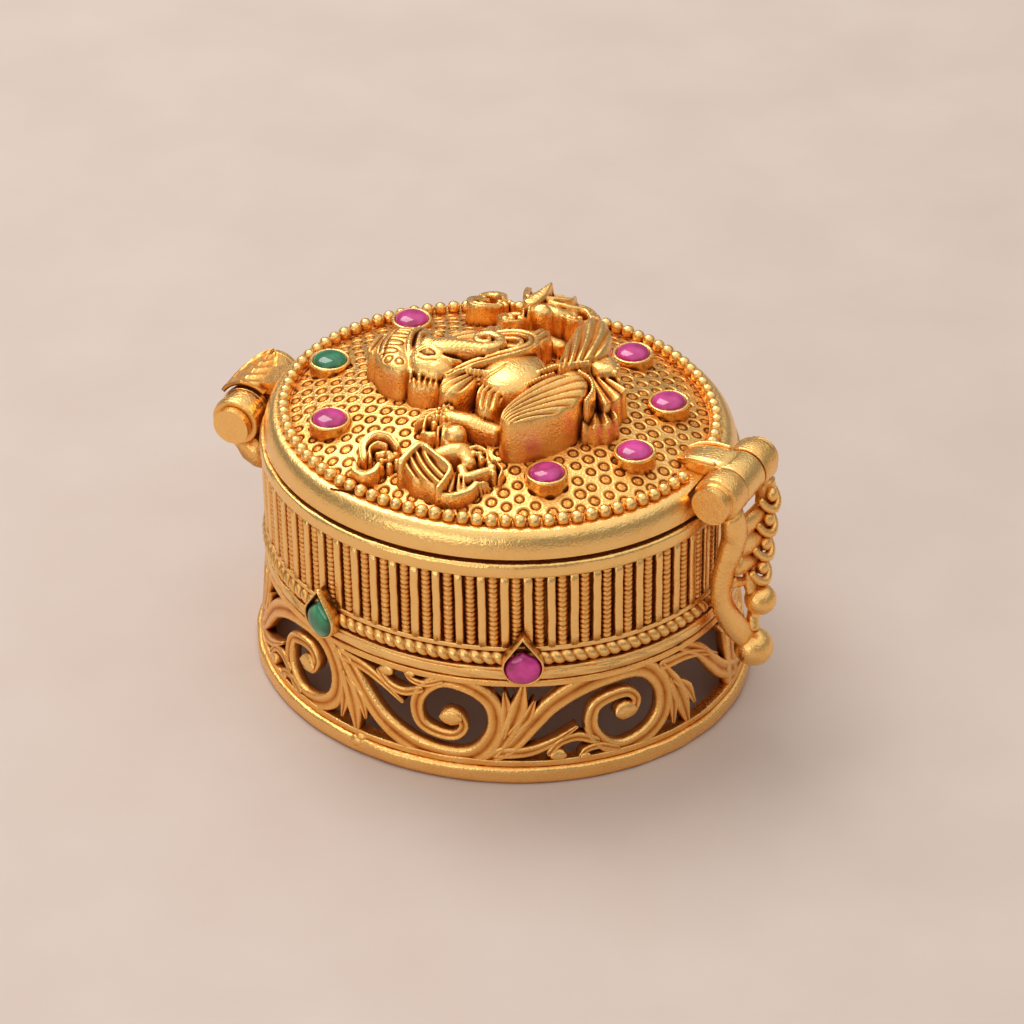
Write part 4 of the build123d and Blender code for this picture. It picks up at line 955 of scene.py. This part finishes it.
def rope():
    """A twisted cord laid round the oval: slanting lobes side by side."""
    lobes, samples, around = 128, 11, 22
    count = lobes * samples
    angles = station(np.arange(count) / count, 0.8)
    phase = np.arange(count)[:, None] * math.pi / samples
    section = np.linspace(0, 2 * np.pi, around, endpoint=False)[None, :]
    turn = np.abs(np.sin(phase + 0.8 * np.sin(section))) ** 0.6
    radius = 0.62 + 0.28 * turn
    outset = -0.13 + radius * np.cos(section)
    z = ROPE_Z + 0.95 + radius * np.sin(section)
    verts = on_wall(angles[:, None], outset, z).reshape(-1, 3)
    # painted shade between the lobes of the cord
    cavity_shade = (0.9 * (1 - turn)).ravel()
    part = Part()
    part.add(verts, grid_faces(count, around, close_rows=True, close_cols=True), cavity_shade)
    made = part.build("rope_cord", "box", GOLD_SMOOTH)
    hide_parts("rope_border")


RAIL_TOP, RIM_FOOT = SLOT_Z + 0.05, RIM_Z - 0.05


def bars():
    """Rail, rim and flat bars in one piece."""
    part = Part()
    ring_sweep(part, rounded([(-0.7, RAIL_Z), (0.4, RAIL_Z), (0.4, RAIL_TOP), (-0.7, RAIL_TOP)], 0.12),
               0.02, 6)
    ring_sweep(part, rounded([(-0.6, RIM_FOOT), (0.42, RIM_FOOT), (0.5, RIM_Z + 0.35), (0.5, MOUTH_Z - 0.3),
                              (0.3, MOUTH_Z), (-0.6, MOUTH_Z)], 0.22), 0.03, 8)
    random.seed(31)
    section = rounded([(-0.43, -0.7), (0.43, -0.7), (0.43, 0.4), (-0.43, 0.4)], 0.22, 3)
    levels = np.linspace(SLOT_Z - 0.1, RIM_Z + 0.1, 9)
    for k in range(UPRIGHTS):
        angle = float(station(k / UPRIGHTS, 0.4))
        centre = on_wall(angle, 0.4, 0.0)
        tangent, out = wall_axes(angle, 0.4)
        wave = [random.uniform(-0.035, 0.035) for _ in levels]
        width = random.uniform(0.93, 1.05)
        rows = []
        for z, shift in zip(levels, wave):
            rows += [centre + tangent * (u * width + shift) + out * (w - 0.4) + np.array([0, 0, z])
                     for u, w in section]
        part.add(rows, capped(len(levels), len(section)), 0.0)
    part.verts = clear_of_hinge(np.array(part.verts)).tolist()
    made = part.build("bars", "box", GOLD_SMOOTH)
    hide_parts("bar_band")


def milled_uprights():
    """A milled wire in each slot between the bars."""
    wires = Part()
    for k in range(UPRIGHTS):
        angle = float(station((k + 0.5) / UPRIGHTS, -0.18))
        x, y, _ = on_wall(angle, -0.18, 0.0)
        x = max(x, RECESS_X - 0.1) if abs(y) < RECESS_HALF else x
        start, pitch = random.uniform(0, 1), random.uniform(0.54, 0.60)
        profile = [(0.03, RAIL_TOP)]
        for z in np.arange(RAIL_TOP, RIM_FOOT, 0.095):
            ridge = math.sqrt(abs(math.sin(math.pi * (z / pitch + start))))
            profile.append((0.42 + 0.13 * ridge, z))
        profile.append((0.03, RIM_FOOT))
        # painted shade in the grooves of the milling and at the wire's ends
        flags = [0.3] + [0.75 - 5.5 * (r - 0.42) for r, _ in profile[1:-1]] + [0.3]
        turned(wires, profile, lambda p, x=x, y=y: (x + p[0], y + p[1], p[2]), 12, flags)
    made = wires.build("milled_uprights", "box", GOLD)
    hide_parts("milled_wires")


# The openwork gallery
LEAN = ((BASE_TOP, 1.55), (GALLERY_TOP, 0.55))
BAND = [(-1.0, -0.42), (-0.86, -0.12), (-0.62, 0.0), (-0.34, -0.09), (0.0, -0.20), (0.34, -0.09),
        (0.62, 0.0), (0.86, -0.12), (1.0, -0.42), (0.98, -1.0), (0.8, -1.28), (-0.8, -1.28), (-0.98, -1.0)]
# painted shade down each band's middle groove and on its back
BAND_DARK = [0.35, 0.1, 0.0, 0.3, 0.75, 0.3, 0.0, 0.1, 0.35, 0.7, 0.9, 0.9, 0.7]
BALL = [(-1.0, -0.5), (-0.8, -0.15), (-0.5, 0.0), (0.0, 0.06), (0.5, 0.0), (0.8, -0.15), (1.0, -0.5),
        (0.8, -1.2), (-0.8, -1.2)]


def to_gallery(s, z, depth, side):
    lean = np.interp(z, [p[0] for p in LEAN], [p[1] for p in LEAN])
    return on_wall(along(s, 0.55, side), lean + depth, z)


def cast_stroke(part, points, widths, centre, side, flip, section=BAND, dark=BAND_DARK, groove=1.0,
                lift=0.0):
    """A grooved band along a curve drawn on the gallery's outer face."""
    line = smooth_line(points, 7)
    share = np.linspace(0, 1, len(line))
    half = np.interp(share, np.linspace(0, 1, len(widths)), widths) / 2
    tangent = np.gradient(line, axis=0)
    tangent /= np.linalg.norm(tangent, axis=1)[:, None]
    rows = []
    for end in (0, -1):
        caps = []
        for t in (0.35, 0.7, 0.92, 1.0):
            out = tangent[end] * (-1 if end == 0 else 1) * half[end] * math.sin(t * math.pi / 2)
            caps.append((line[end] + out, tangent[end], max(half[end] * math.cos(t * math.pi / 2), 0.02)))
        rows.append(caps)
    path = rows[0][::-1] + [(p, t, h) for p, t, h in zip(line, tangent, half)] + rows[1]
    verts = []
    for p, t, h in path:
        for across, depth in section:
            s = p[0] - t[1] * across * h
            v = p[1] + t[0] * across * h
            inner = depth * (groove if depth > -0.5 else 1.0) + lift
            z = min(max(SCROLL_Z + (-v if flip else v), BASE_TOP + 0.02), GALLERY_TOP - 0.02)
            verts.append(to_gallery(centre + s, z, min(inner, 0.1), side))
    part.add(verts, capped(len(path), len(section)), np.tile(dark, len(path)))


STEM = [(-15, -5), (-14, -4.2), (-12, -2.7), (-10, -0.2), (-8, 2.0), (-5, 3.8), (-2, 4.6), (1, 4.6),
        (3, 3.4), (4.3, 0.8), (4, -2.0), (2, -3.8), (-1, -4.4), (-3, -3.2), (-4, -1.2), (-3.6, 1.0),
        (-2, 1.9), (0, 2.0), (1.0, 0.9), (0.5, -0.4), (-0.5, -0.7)]
STEM_WIDTHS = [1.3, 1.5, 1.7, 1.9, 2.1, 2.3, 2.4, 2.4, 2.2, 2.0, 2.0, 1.9, 1.8, 1.7, 1.6, 1.4, 1.3, 1.2,
               1.1, 1.0, 0.9]
LEAVES = [([(4.3, 3.6), (5.6, 1.0), (6.6, -1.8), (7.2, -4.9)], [0.9, 1.9, 2.1, 0.4]),
          ([(5.0, 1.5), (5.4, -1.2), (5.2, -3.6)], [0.8, 1.5, 0.4]),
          ([(5.8, 1.2), (7.4, -0.6), (8.2, -2.6)], [0.8, 1.5, 0.4])]
TENDRILS = [([(4.5, 3.65), (7.5, 3.4), (10, 2.4), (12.4, 0.85)], [1.4, 1.2, 0.9, 0.4]),
            ([(-3.7, -2.75), (-5.5, -2.05), (-7.2, -2.45), (-8.3, -3.6)], [1.0, 1.0, 0.9, 0.8]),
            ([(-1.5, -4.25), (-3.2, -3.55), (-4.6, -3.75), (-5.2, -4.4)], [0.8, 0.8, 0.7, 0.6])]
BOSSES = [(-0.3, -0.15, 1.15), (-7.5, -4.0, 0.78), (-4.75, -4.45, 0.5)]


def gallery():
    """Four scrolls on each long side, every other one upside down, and a post at each end."""
    part = Part()
    # painted shade: the two rails are a little darkened
    ring_sweep(part, rounded([(0.25, 1.92), (1.55, 1.92), (1.50, 2.62), (0.22, 2.62)], 0.14), 0.03, 12, 0.1)
    ring_sweep(part, rounded([(-0.72, 11.48), (0.62, 11.48), (0.55, 12.18), (-0.75, 12.18)], 0.14), 0.03,
               13, 0.1)
    for side in (-1, 1):
        for k in range(4):
            centre = SCROLL_SHIFT + SCROLL_PITCH * (k - 1.5)
            flip = k % 2 == 0
            cast_stroke(part, STEM, STEM_WIDTHS, centre, side, flip)
            for points, widths in LEAVES:
                cast_stroke(part, points, widths, centre, side, flip, groove=0.7, lift=0.02)
            for points, widths in TENDRILS:
                cast_stroke(part, points, widths, centre, side, flip, groove=0.5)
            # painted shade round the foot and back of each boss
            for u, v, r in BOSSES:
                cast_stroke(part, [(u - 0.05, v), (u, v), (u + 0.05, v)], [2 * r, 2 * r, 2 * r], centre,
                            side, flip, section=BALL, dark=[0.3, 0.1, 0, 0, 0, 0.1, 0.3, 0.8, 0.8],
                            lift=0.04)
    quarter = table_of(0.55)[-1] / 4
    for turn in (-quarter, quarter):
        cast_stroke(part, [(turn, -4.9), (turn, 0), (turn, 4.9)], [3.0, 2.6, 3.0], 0.0, -1, False,
                    groove=0.8)
    made = part.build("gallery_scrolls", "box", GOLD)
    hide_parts("scroll_gallery")


# Drop-shaped stones on the long sides
def drop_outline(radius, tip, steps=40):
    """Points round a drop, its tip up: a circle below, two lines meeting at the tip above."""
    touch = math.acos(radius / tip)
    arc = np.linspace(math.pi / 2 + touch, 5 * math.pi / 2 - touch, steps)
    points = [(radius * math.cos(a), radius * math.sin(a)) for a in arc]
    shares = np.linspace(0, 1, 6)[1:-1]
    last, first = np.array(points[-1]), np.array(points[0])
    top = np.array([0.0, tip - 0.12])
    points += [tuple(last + (top - last) * t) for t in shares] + [tuple(top)]
    points += [tuple(top + (first - top) * t) for t in shares]
    return points


def drops():
    """Drop-shaped settings on the long sides, two to a side, their colours alternating."""
    collars = Part()
    groups = {"pink": Part(), "green": Part()}
    for side in (-1, 1):
        for end in (-1, 1):
            s = end * 11.35
            colour = "green" if end * -side < 0 else "pink"
            angle = float(along(s, 0.8, side))
            centre = on_wall(angle, 0.0, 14.6)
            tangent, out = wall_axes(angle, 0.0)
            up = np.array([0.0, 0, 1])

            def at(u, v, w, centre=centre, tangent=tangent, out=out):
                return centre + tangent * u + up * v + out * w

            outer = drop_outline(2.15, 3.9)
            n = len(outer)
            rows = []
            for share, w in ((1.0, 0.5), (1.0, 1.50), (0.98, 1.66), (0.94, 1.72), (0.90, 1.66), (0.88, 1.5),
                             (0.88, 0.5)):
                rows += [at(u * share, v * share + 0.15 * (1 - share), w) for u, v in outer]
            # painted shade on the inside of each collar
            flags = np.repeat([0.3, 0, 0, 0, 0.2, 0.9, 1.0], n)
            collars.add(rows, grid_faces(7, n, close_rows=True, close_cols=True), flags)
            stone = drop_outline(1.86, 2.25 if colour == "pink" else 2.7)
            m = len(stone)
            rows = [at(0.01 * u, -0.35, 0.7) for u, v in stone]
            for k in range(8):
                t = k / 7 * math.pi / 2
                f = max(math.cos(t) ** 0.8, 0.02)
                rows += [at(u * f, (v - 0.1) * f - 0.2, 1.2 + 0.85 * math.sin(t)) for u, v in stone]
            groups[colour].add(rows, grid_faces(9, m, close_cols=True), 0.0)
    made = collars.build("drop_bezels", "box", GOLD_SMOOTH)
    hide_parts("drop_collars")
    pink = groups["pink"].build("drops_pink", "box", PINK, slot="pink_glass")
    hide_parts("drop_stones_pink")
    green = groups["green"].build("drops_green", "box", GREEN, slot="green_glass")
    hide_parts("drop_stones_green")


# Clasp
def clasp_place(p):
    c, s = math.cos(CLASP_SKEW), math.sin(CLASP_SKEW)
    return (CLASP[0] + c * p[0] - s * p[1], CLASP[1] + s * p[0] + c * p[1], CLASP[2] + p[2])


def lever():
    """The swinging lever: two barrels, a crescent that bows towards the wall, and a stem."""
    part = Part()
    barrel = rounded([(1.17, 1.97), (2.48, 1.97), (2.48, 4.42), (2.02, 4.50), (2.02, 4.88), (1.17, 4.88)],
                     0.16, 3)
    for side in (-1, 1):
        lying(part, barrel, 40, side)

    def limb(points, wide, flat):
        line = smooth_line(points, 6)
        radii = np.interp(np.linspace(0, 1, len(line)), np.linspace(0, 1, len(wide)), wide)
        tube(part, line, radii, 20, flat=flat, up=(1, 0, 0))

    # near arm, widening into the crescent that comes back out to the tail ball
    limb([(1.4, -3.4, -1.7), (1.5, -3.1, -3.4), (1.3, -2.7, -5.0), (1.0, -2.9, -6.8), (0.6, -3.2, -8.6),
          (0.35, -3.4, -10.6), (0.35, -3.3, -12.6), (0.6, -2.7, -14.6), (1.1, -1.8, -16.6),
          (1.8, -0.8, -18.4), (2.4, -0.1, -19.6)], [1.35, 1.6, 1.8, 1.75, 1.55, 1.45, 1.4, 1.45, 1.45, 1.3,
                                                    1.15], 0.7)
    # far arm and the stem that carries the thumb ball
    limb([(1.4, 3.5, -1.7), (1.7, 3.3, -3.2), (1.9, 2.5, -5.2), (1.9, 1.4, -7.4), (1.8, 0.4, -9.6),
          (2.0, -0.2, -11.8), (2.6, -0.2, -13.4)], [1.3, 1.3, 1.2, 1.1, 1.0, 0.9, 0.9], 0.8)
    # webs between the two, and the foot that runs from the tail ball up to the thumb ball
    limb([(1.5, -2.4, -4.4), (1.6, 0.0, -4.7), (1.8, 2.5, -4.4)], [1.2, 1.25, 1.2], 0.65)
    limb([(1.3, -2.3, -6.2), (1.6, -0.4, -6.9), (1.9, 1.4, -7.2)], [1.4, 1.5, 1.3], 0.65)
    limb([(1.3, -2.4, -8.6), (1.6, -0.9, -9.2), (1.8, 0.4, -9.4)], [1.2, 1.2, 1.1], 0.7)
    limb([(1.1, -2.6, -10.8), (1.6, -1.2, -11.4), (2.0, -0.2, -11.4)], [0.7, 0.5, 0.7], 0.7)
    limb([(2.2, 0.1, -18.2), (1.9, 0.9, -16.8), (2.1, 0.8, -15.4), (2.7, 0.1, -14.4)],
         [0.95, 0.8, 0.75, 0.8], 0.8)
    part.move(clasp_place)
    made = part.build("swing_lever", "clasp", GOLD)
    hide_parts("clasp_lever")


def lever_balls():
    for name, node, centre, r in (("tail_ball", "clasp_finial_ball", (2.5, 0, -20.1), 2.08),
                                  ("thumb_ball", "clasp_finger_ball", (3.1, 0, -13.8), 1.68)):
        knob = Part()
        ball(knob, centre, r, rings=20, around=32)
        knob.move(clasp_place)
        made = knob.build(name, "clasp", GOLD)
        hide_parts(node)


def lever_leaves():
    """Four cast leaves down the lever's front, each a curl round a bud."""
    leaves = Part()
    for i in range(4):
        z = -2.7 - 2.5 * i
        y = 2.6 - 0.75 * i
        x = 2.45 + 0.12 * i
        curl = smooth_line([(x - 0.3, y - 1.5, z + 0.2), (x + 0.3, y - 0.9, z - 0.9),
                            (x + 0.65, y, z - 1.3), (x + 0.45, y + 0.9, z - 0.7),
                            (x - 0.1, y + 1.2, z + 0.3)], 5)
        tube(leaves, curl, np.interp(np.linspace(0, 1, len(curl)), [0, 0.5, 1], [0.35, 0.55, 0.35]), 12)
        ball(leaves, (x + 0.2, y + 0.1, z + 0.1), 0.75, (0.9, 1, 1.1), rings=8, around=12)
    leaves.move(clasp_place)
    made = leaves.build("lever_foliage", "clasp", GOLD)
    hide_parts("clasp_leaf")


def strap():
    """The lid's clasp barrel and the tongue that runs from it in over the beads."""
    part = Part()
    barrel = rounded([(1.17, -1.8), (2.4, -1.8), (2.4, 1.8), (1.17, 1.8)], 0.2, 3)
    lying(part, barrel, 44)
    sections = [(-0.2, 2.4, 1.25, 1.8), (-1.4, 2.42, 0.6, 1.8), (-2.6, 2.36, 0.5, 1.82),
                (-3.7, 2.2, 0.5, 1.8), (-4.7, 1.98, 0.6, 1.7), (-5.5, 1.7, 0.7, 1.5),
                (-6.1, 1.35, 0.75, 1.15), (-6.4, 1.0, 0.8, 0.7)]
    rows = []
    for x, top, low, half in sections:
        outline = rounded([(-half, low), (half, low), (half, top - 0.35), (half * 0.7, top),
                           (-half * 0.7, top), (-half, top - 0.35)], 0.25, 3)
        rows += [(x, y, z) for y, z in outline]
    part.add(rows, capped(len(sections), len(outline)), 0.0)
    for side in (-1, 1):
        edge = smooth_line([(-1.6, side * 1.72, 2.3), (-3.4, side * 1.75, 2.2), (-5.0, side * 1.55, 1.8),
                            (-6.1, side * 1.0, 1.25)], 6)
        tube(part, edge, 0.24, 10)
    part.move(clasp_place)
    made = part.build("clasp_strap", "lid", GOLD_SMOOTH)
    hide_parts("clasp_tab")


# Hinge
def hinge_place(p):
    return (HINGE[0] + p[0], HINGE[1] + p[1], HINGE[2] + p[2])


def hinge_bracket():
    """The box's two barrels on their feet."""
    part = Part()
    barrel = rounded([(1.18, 2.02), (2.62, 2.02), (2.62, 5.58), (1.18, 5.58)], 0.3, 3)
    # the foot under each barrel, kept within the barrel's radius where the leaf swings past
    web = [(-2.42, -0.8), (-2.2, -1.55), (-1.55, -2.25), (-0.75, -2.66), (-0.1, -3.4), (0.6, -4.5),
           (1.9, -5.3), (3.1, -5.35), (3.1, -2.6), (2.2, -1.7), (1.15, -1.9), (0.0, -2.1), (-1.2, -1.8),
           (-2.0, -1.1)]
    for side in (-1, 1):
        lying(part, barrel, 44, side)
        for y, r in ((2.9, 2.68), (4.9, 2.68)):
            lying(part, [(r - 0.14, y - 0.16), (r, y), (r - 0.14, y + 0.16), (r - 0.3, y)], 44, side)
        rows = []
        for y, inset in ((2.1, 0.12), (2.25, 0.0), (5.2, 0.0), (5.35, 0.12)):
            rows += [(x + (inset if x < 0 else 0.0), side * y, z + inset * 0.6) for x, z in web]
        # painted shade: the feet are a little darkened
        part.add(rows, capped(4, len(web)), 0.1)
    part.move(hinge_place)
    made = part.build("hinge_barrels", "box", GOLD)
    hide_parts("hinge_bracket")


def hinge_leaf():
    """The lid's pointed leaf, laid along the barrels, with a raised border and veins."""
    leaf = Part()
    low, high, rows, cols = -2.7, 4.4, 44, 36
    outer, inner, flags = [], [], []
    for i in range(rows + 1):
        t = i / rows
        y = low + (high - low) * t
        spread = 50 * max(1 - t ** 1.7, 0.0) ** 0.75 + 0.6
        centre = 98 - 8 * t
        for j in range(cols + 1):
            u = 2 * j / cols - 1
            angle = math.radians(centre + spread * u)
            near_rim = (1 - abs(u)) * spread / 50 * 2.6
            near_end = t * (high - low)
            edge = 0.22 * math.exp(-(min(near_rim, near_end + 0.05) / 0.22) ** 2)
            vein = 0.14 * math.exp(-(u / 0.07) ** 2) + 0.06 * math.cos(2 * math.pi * (t * 5 - abs(u) * 1.3))
            radius = 3.16 + edge + vein * (1 - math.exp(-(near_rim / 0.3) ** 2))
            outer.append((radius * math.cos(angle), y, radius * math.sin(angle)))
            inner.append((2.9 * math.cos(angle), y, 2.9 * math.sin(angle)))
            # painted shade in the dips between the veins
            flags.append(max(0.0, 0.35 - 3.0 * vein))
    n = cols + 1
    count = len(outer)
    faces = grid_faces(rows + 1, n) + [[count + i for i in f[::-1]] for f in grid_faces(rows + 1, n)]
    border = list(range(n)) + [k * n + cols for k in range(1, rows + 1)]
    border += [rows * n + k for k in range(cols - 1, -1, -1)] + [k * n for k in range(rows - 1, 0, -1)]
    for a, b in zip(border, border[1:] + border[:1]):
        faces.append([a, b, count + b, count + a])
    # painted shade on the leaf's inner side
    leaf.add(outer + inner, faces, flags + [0.6] * count)
    leaf.move(hinge_place)
    made = leaf.build("hinge_foliage", "lid", GOLD)
    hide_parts("hinge_leaf")


# Put together
punched_field()
bead_ring()
stones()
base_and_moulding()
rope()
bars()
milled_uprights()
gallery()
drops()
lever()
lever_balls()
lever_leaves()
strap()
hinge_bracket()
hinge_leaf()
seated_figure()
attendant_group(-1)
attendant_group(1)
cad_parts["lid_rim"].data.materials[0] = GOLD_SMOOTH


# Table top, lights and camera
def table_top():
    mat, tree, shader = shaded("pale_table", Roughness=0.6)
    ramp_in(tree, noise_in(tree, 60.0, 6.0), [(0.3, (0.59, 0.480, 0.425)), (0.7, (0.62, 0.520, 0.465))],
            shader.inputs["Base Color"])
    data = bpy.data.meshes.new("table_top")
    data.from_pydata([(-3, -3, 0), (3, -3, 0), (3, 3, 0), (-3, 3, 0)], [], [(0, 1, 2, 3)])
    top = bpy.data.objects.new("table_top", data)
    data.materials.append(mat)
    bpy.context.scene.collection.objects.link(top)


def area_light(name, place, aim, size, power, colour):
    data = bpy.data.lights.new(name, "AREA")
    data.shape = "RECTANGLE"
    data.size, data.size_y = size
    data.energy = power
    data.color = colour
    lamp = bpy.data.objects.new(name, data)
    bpy.context.scene.collection.objects.link(lamp)
    lamp.location = place
    back = np.array(place, float) - np.array(aim, float)
    point_at(lamp, back)


def point_at(obj, back, roll=0.0):
    """Turns an object so that it looks against back, its top towards +Z, rolled by an angle."""
    back = back / np.linalg.norm(back)
    right = np.cross((0, 0, 1.0), back)
    right /= np.linalg.norm(right)
    up = np.cross(back, right)
    c, s = math.cos(roll), math.sin(roll)
    side, top = right * c - up * s, right * s + up * c
    obj.rotation_mode = "QUATERNION"
    obj.rotation_quaternion = Matrix(np.stack([side, top, back], -1).tolist()).to_quaternion()


table_top()
TURN_Z, LIFT, ROLL = math.radians(23.0), math.radians(34.75), math.radians(0.85)
FOCAL_LENGTH, PICTURE_WIDTH = 3701, 1024
CAMERA_RIGHT, CAMERA_UP, CAMERA_BACK = 1.185, 13.99, 400
RIGHT = np.array([math.cos(TURN_Z), math.sin(TURN_Z), 0])
BACK = np.array([math.sin(TURN_Z) * math.cos(LIFT), -math.cos(TURN_Z) * math.cos(LIFT), math.sin(LIFT)])
UP = np.cross(BACK, RIGHT)

lens = bpy.data.cameras.new("camera")
lens.sensor_fit = "HORIZONTAL"
lens.sensor_width = 36.0
lens.lens = FOCAL_LENGTH / PICTURE_WIDTH * 36
lens.clip_start = 0.01
camera = bpy.data.objects.new("camera", lens)
bpy.context.scene.collection.objects.link(camera)
camera.location = (CAMERA_RIGHT * RIGHT + CAMERA_UP * UP + CAMERA_BACK * BACK) * MM
point_at(camera, BACK, ROLL)
bpy.context.scene.camera = camera

# a studio that is dim at the horizon and bright overhead
world = bpy.data.worlds.new("studio")
world.use_nodes = True
sky = world.node_tree
sky_place = sky.nodes.new("ShaderNodeTexCoord")
sky_split = sky.nodes.new("ShaderNodeSeparateXYZ")
sky.links.new(sky_place.outputs["Generated"], sky_split.inputs["Vector"])
sky_ramp = ramp_in(sky, sky_split.outputs["Z"], [(0.35, (0.30, 0.285, 0.27)), (0.80, (1.0, 0.975, 0.94))],
                   sky.nodes["Background"].inputs["Color"])
sky_ramp.interpolation = "EASE"
sky.nodes["Background"].inputs["Strength"].default_value = 1.0
bpy.context.scene.world = world
area_light("key", RIGHT * -0.22 + UP * 0.66 + BACK * 0.11, (0, 0, 0.015), (0.42, 0.42), 2.3,
           (1.0, 0.97, 0.92))
area_light("front", (-0.10, -0.42, 0.16), (0, 0, 0.01), (0.34, 0.16), 0.30, (1.0, 0.96, 0.9))
bpy.context.scene.view_settings.view_transform = "Standard"
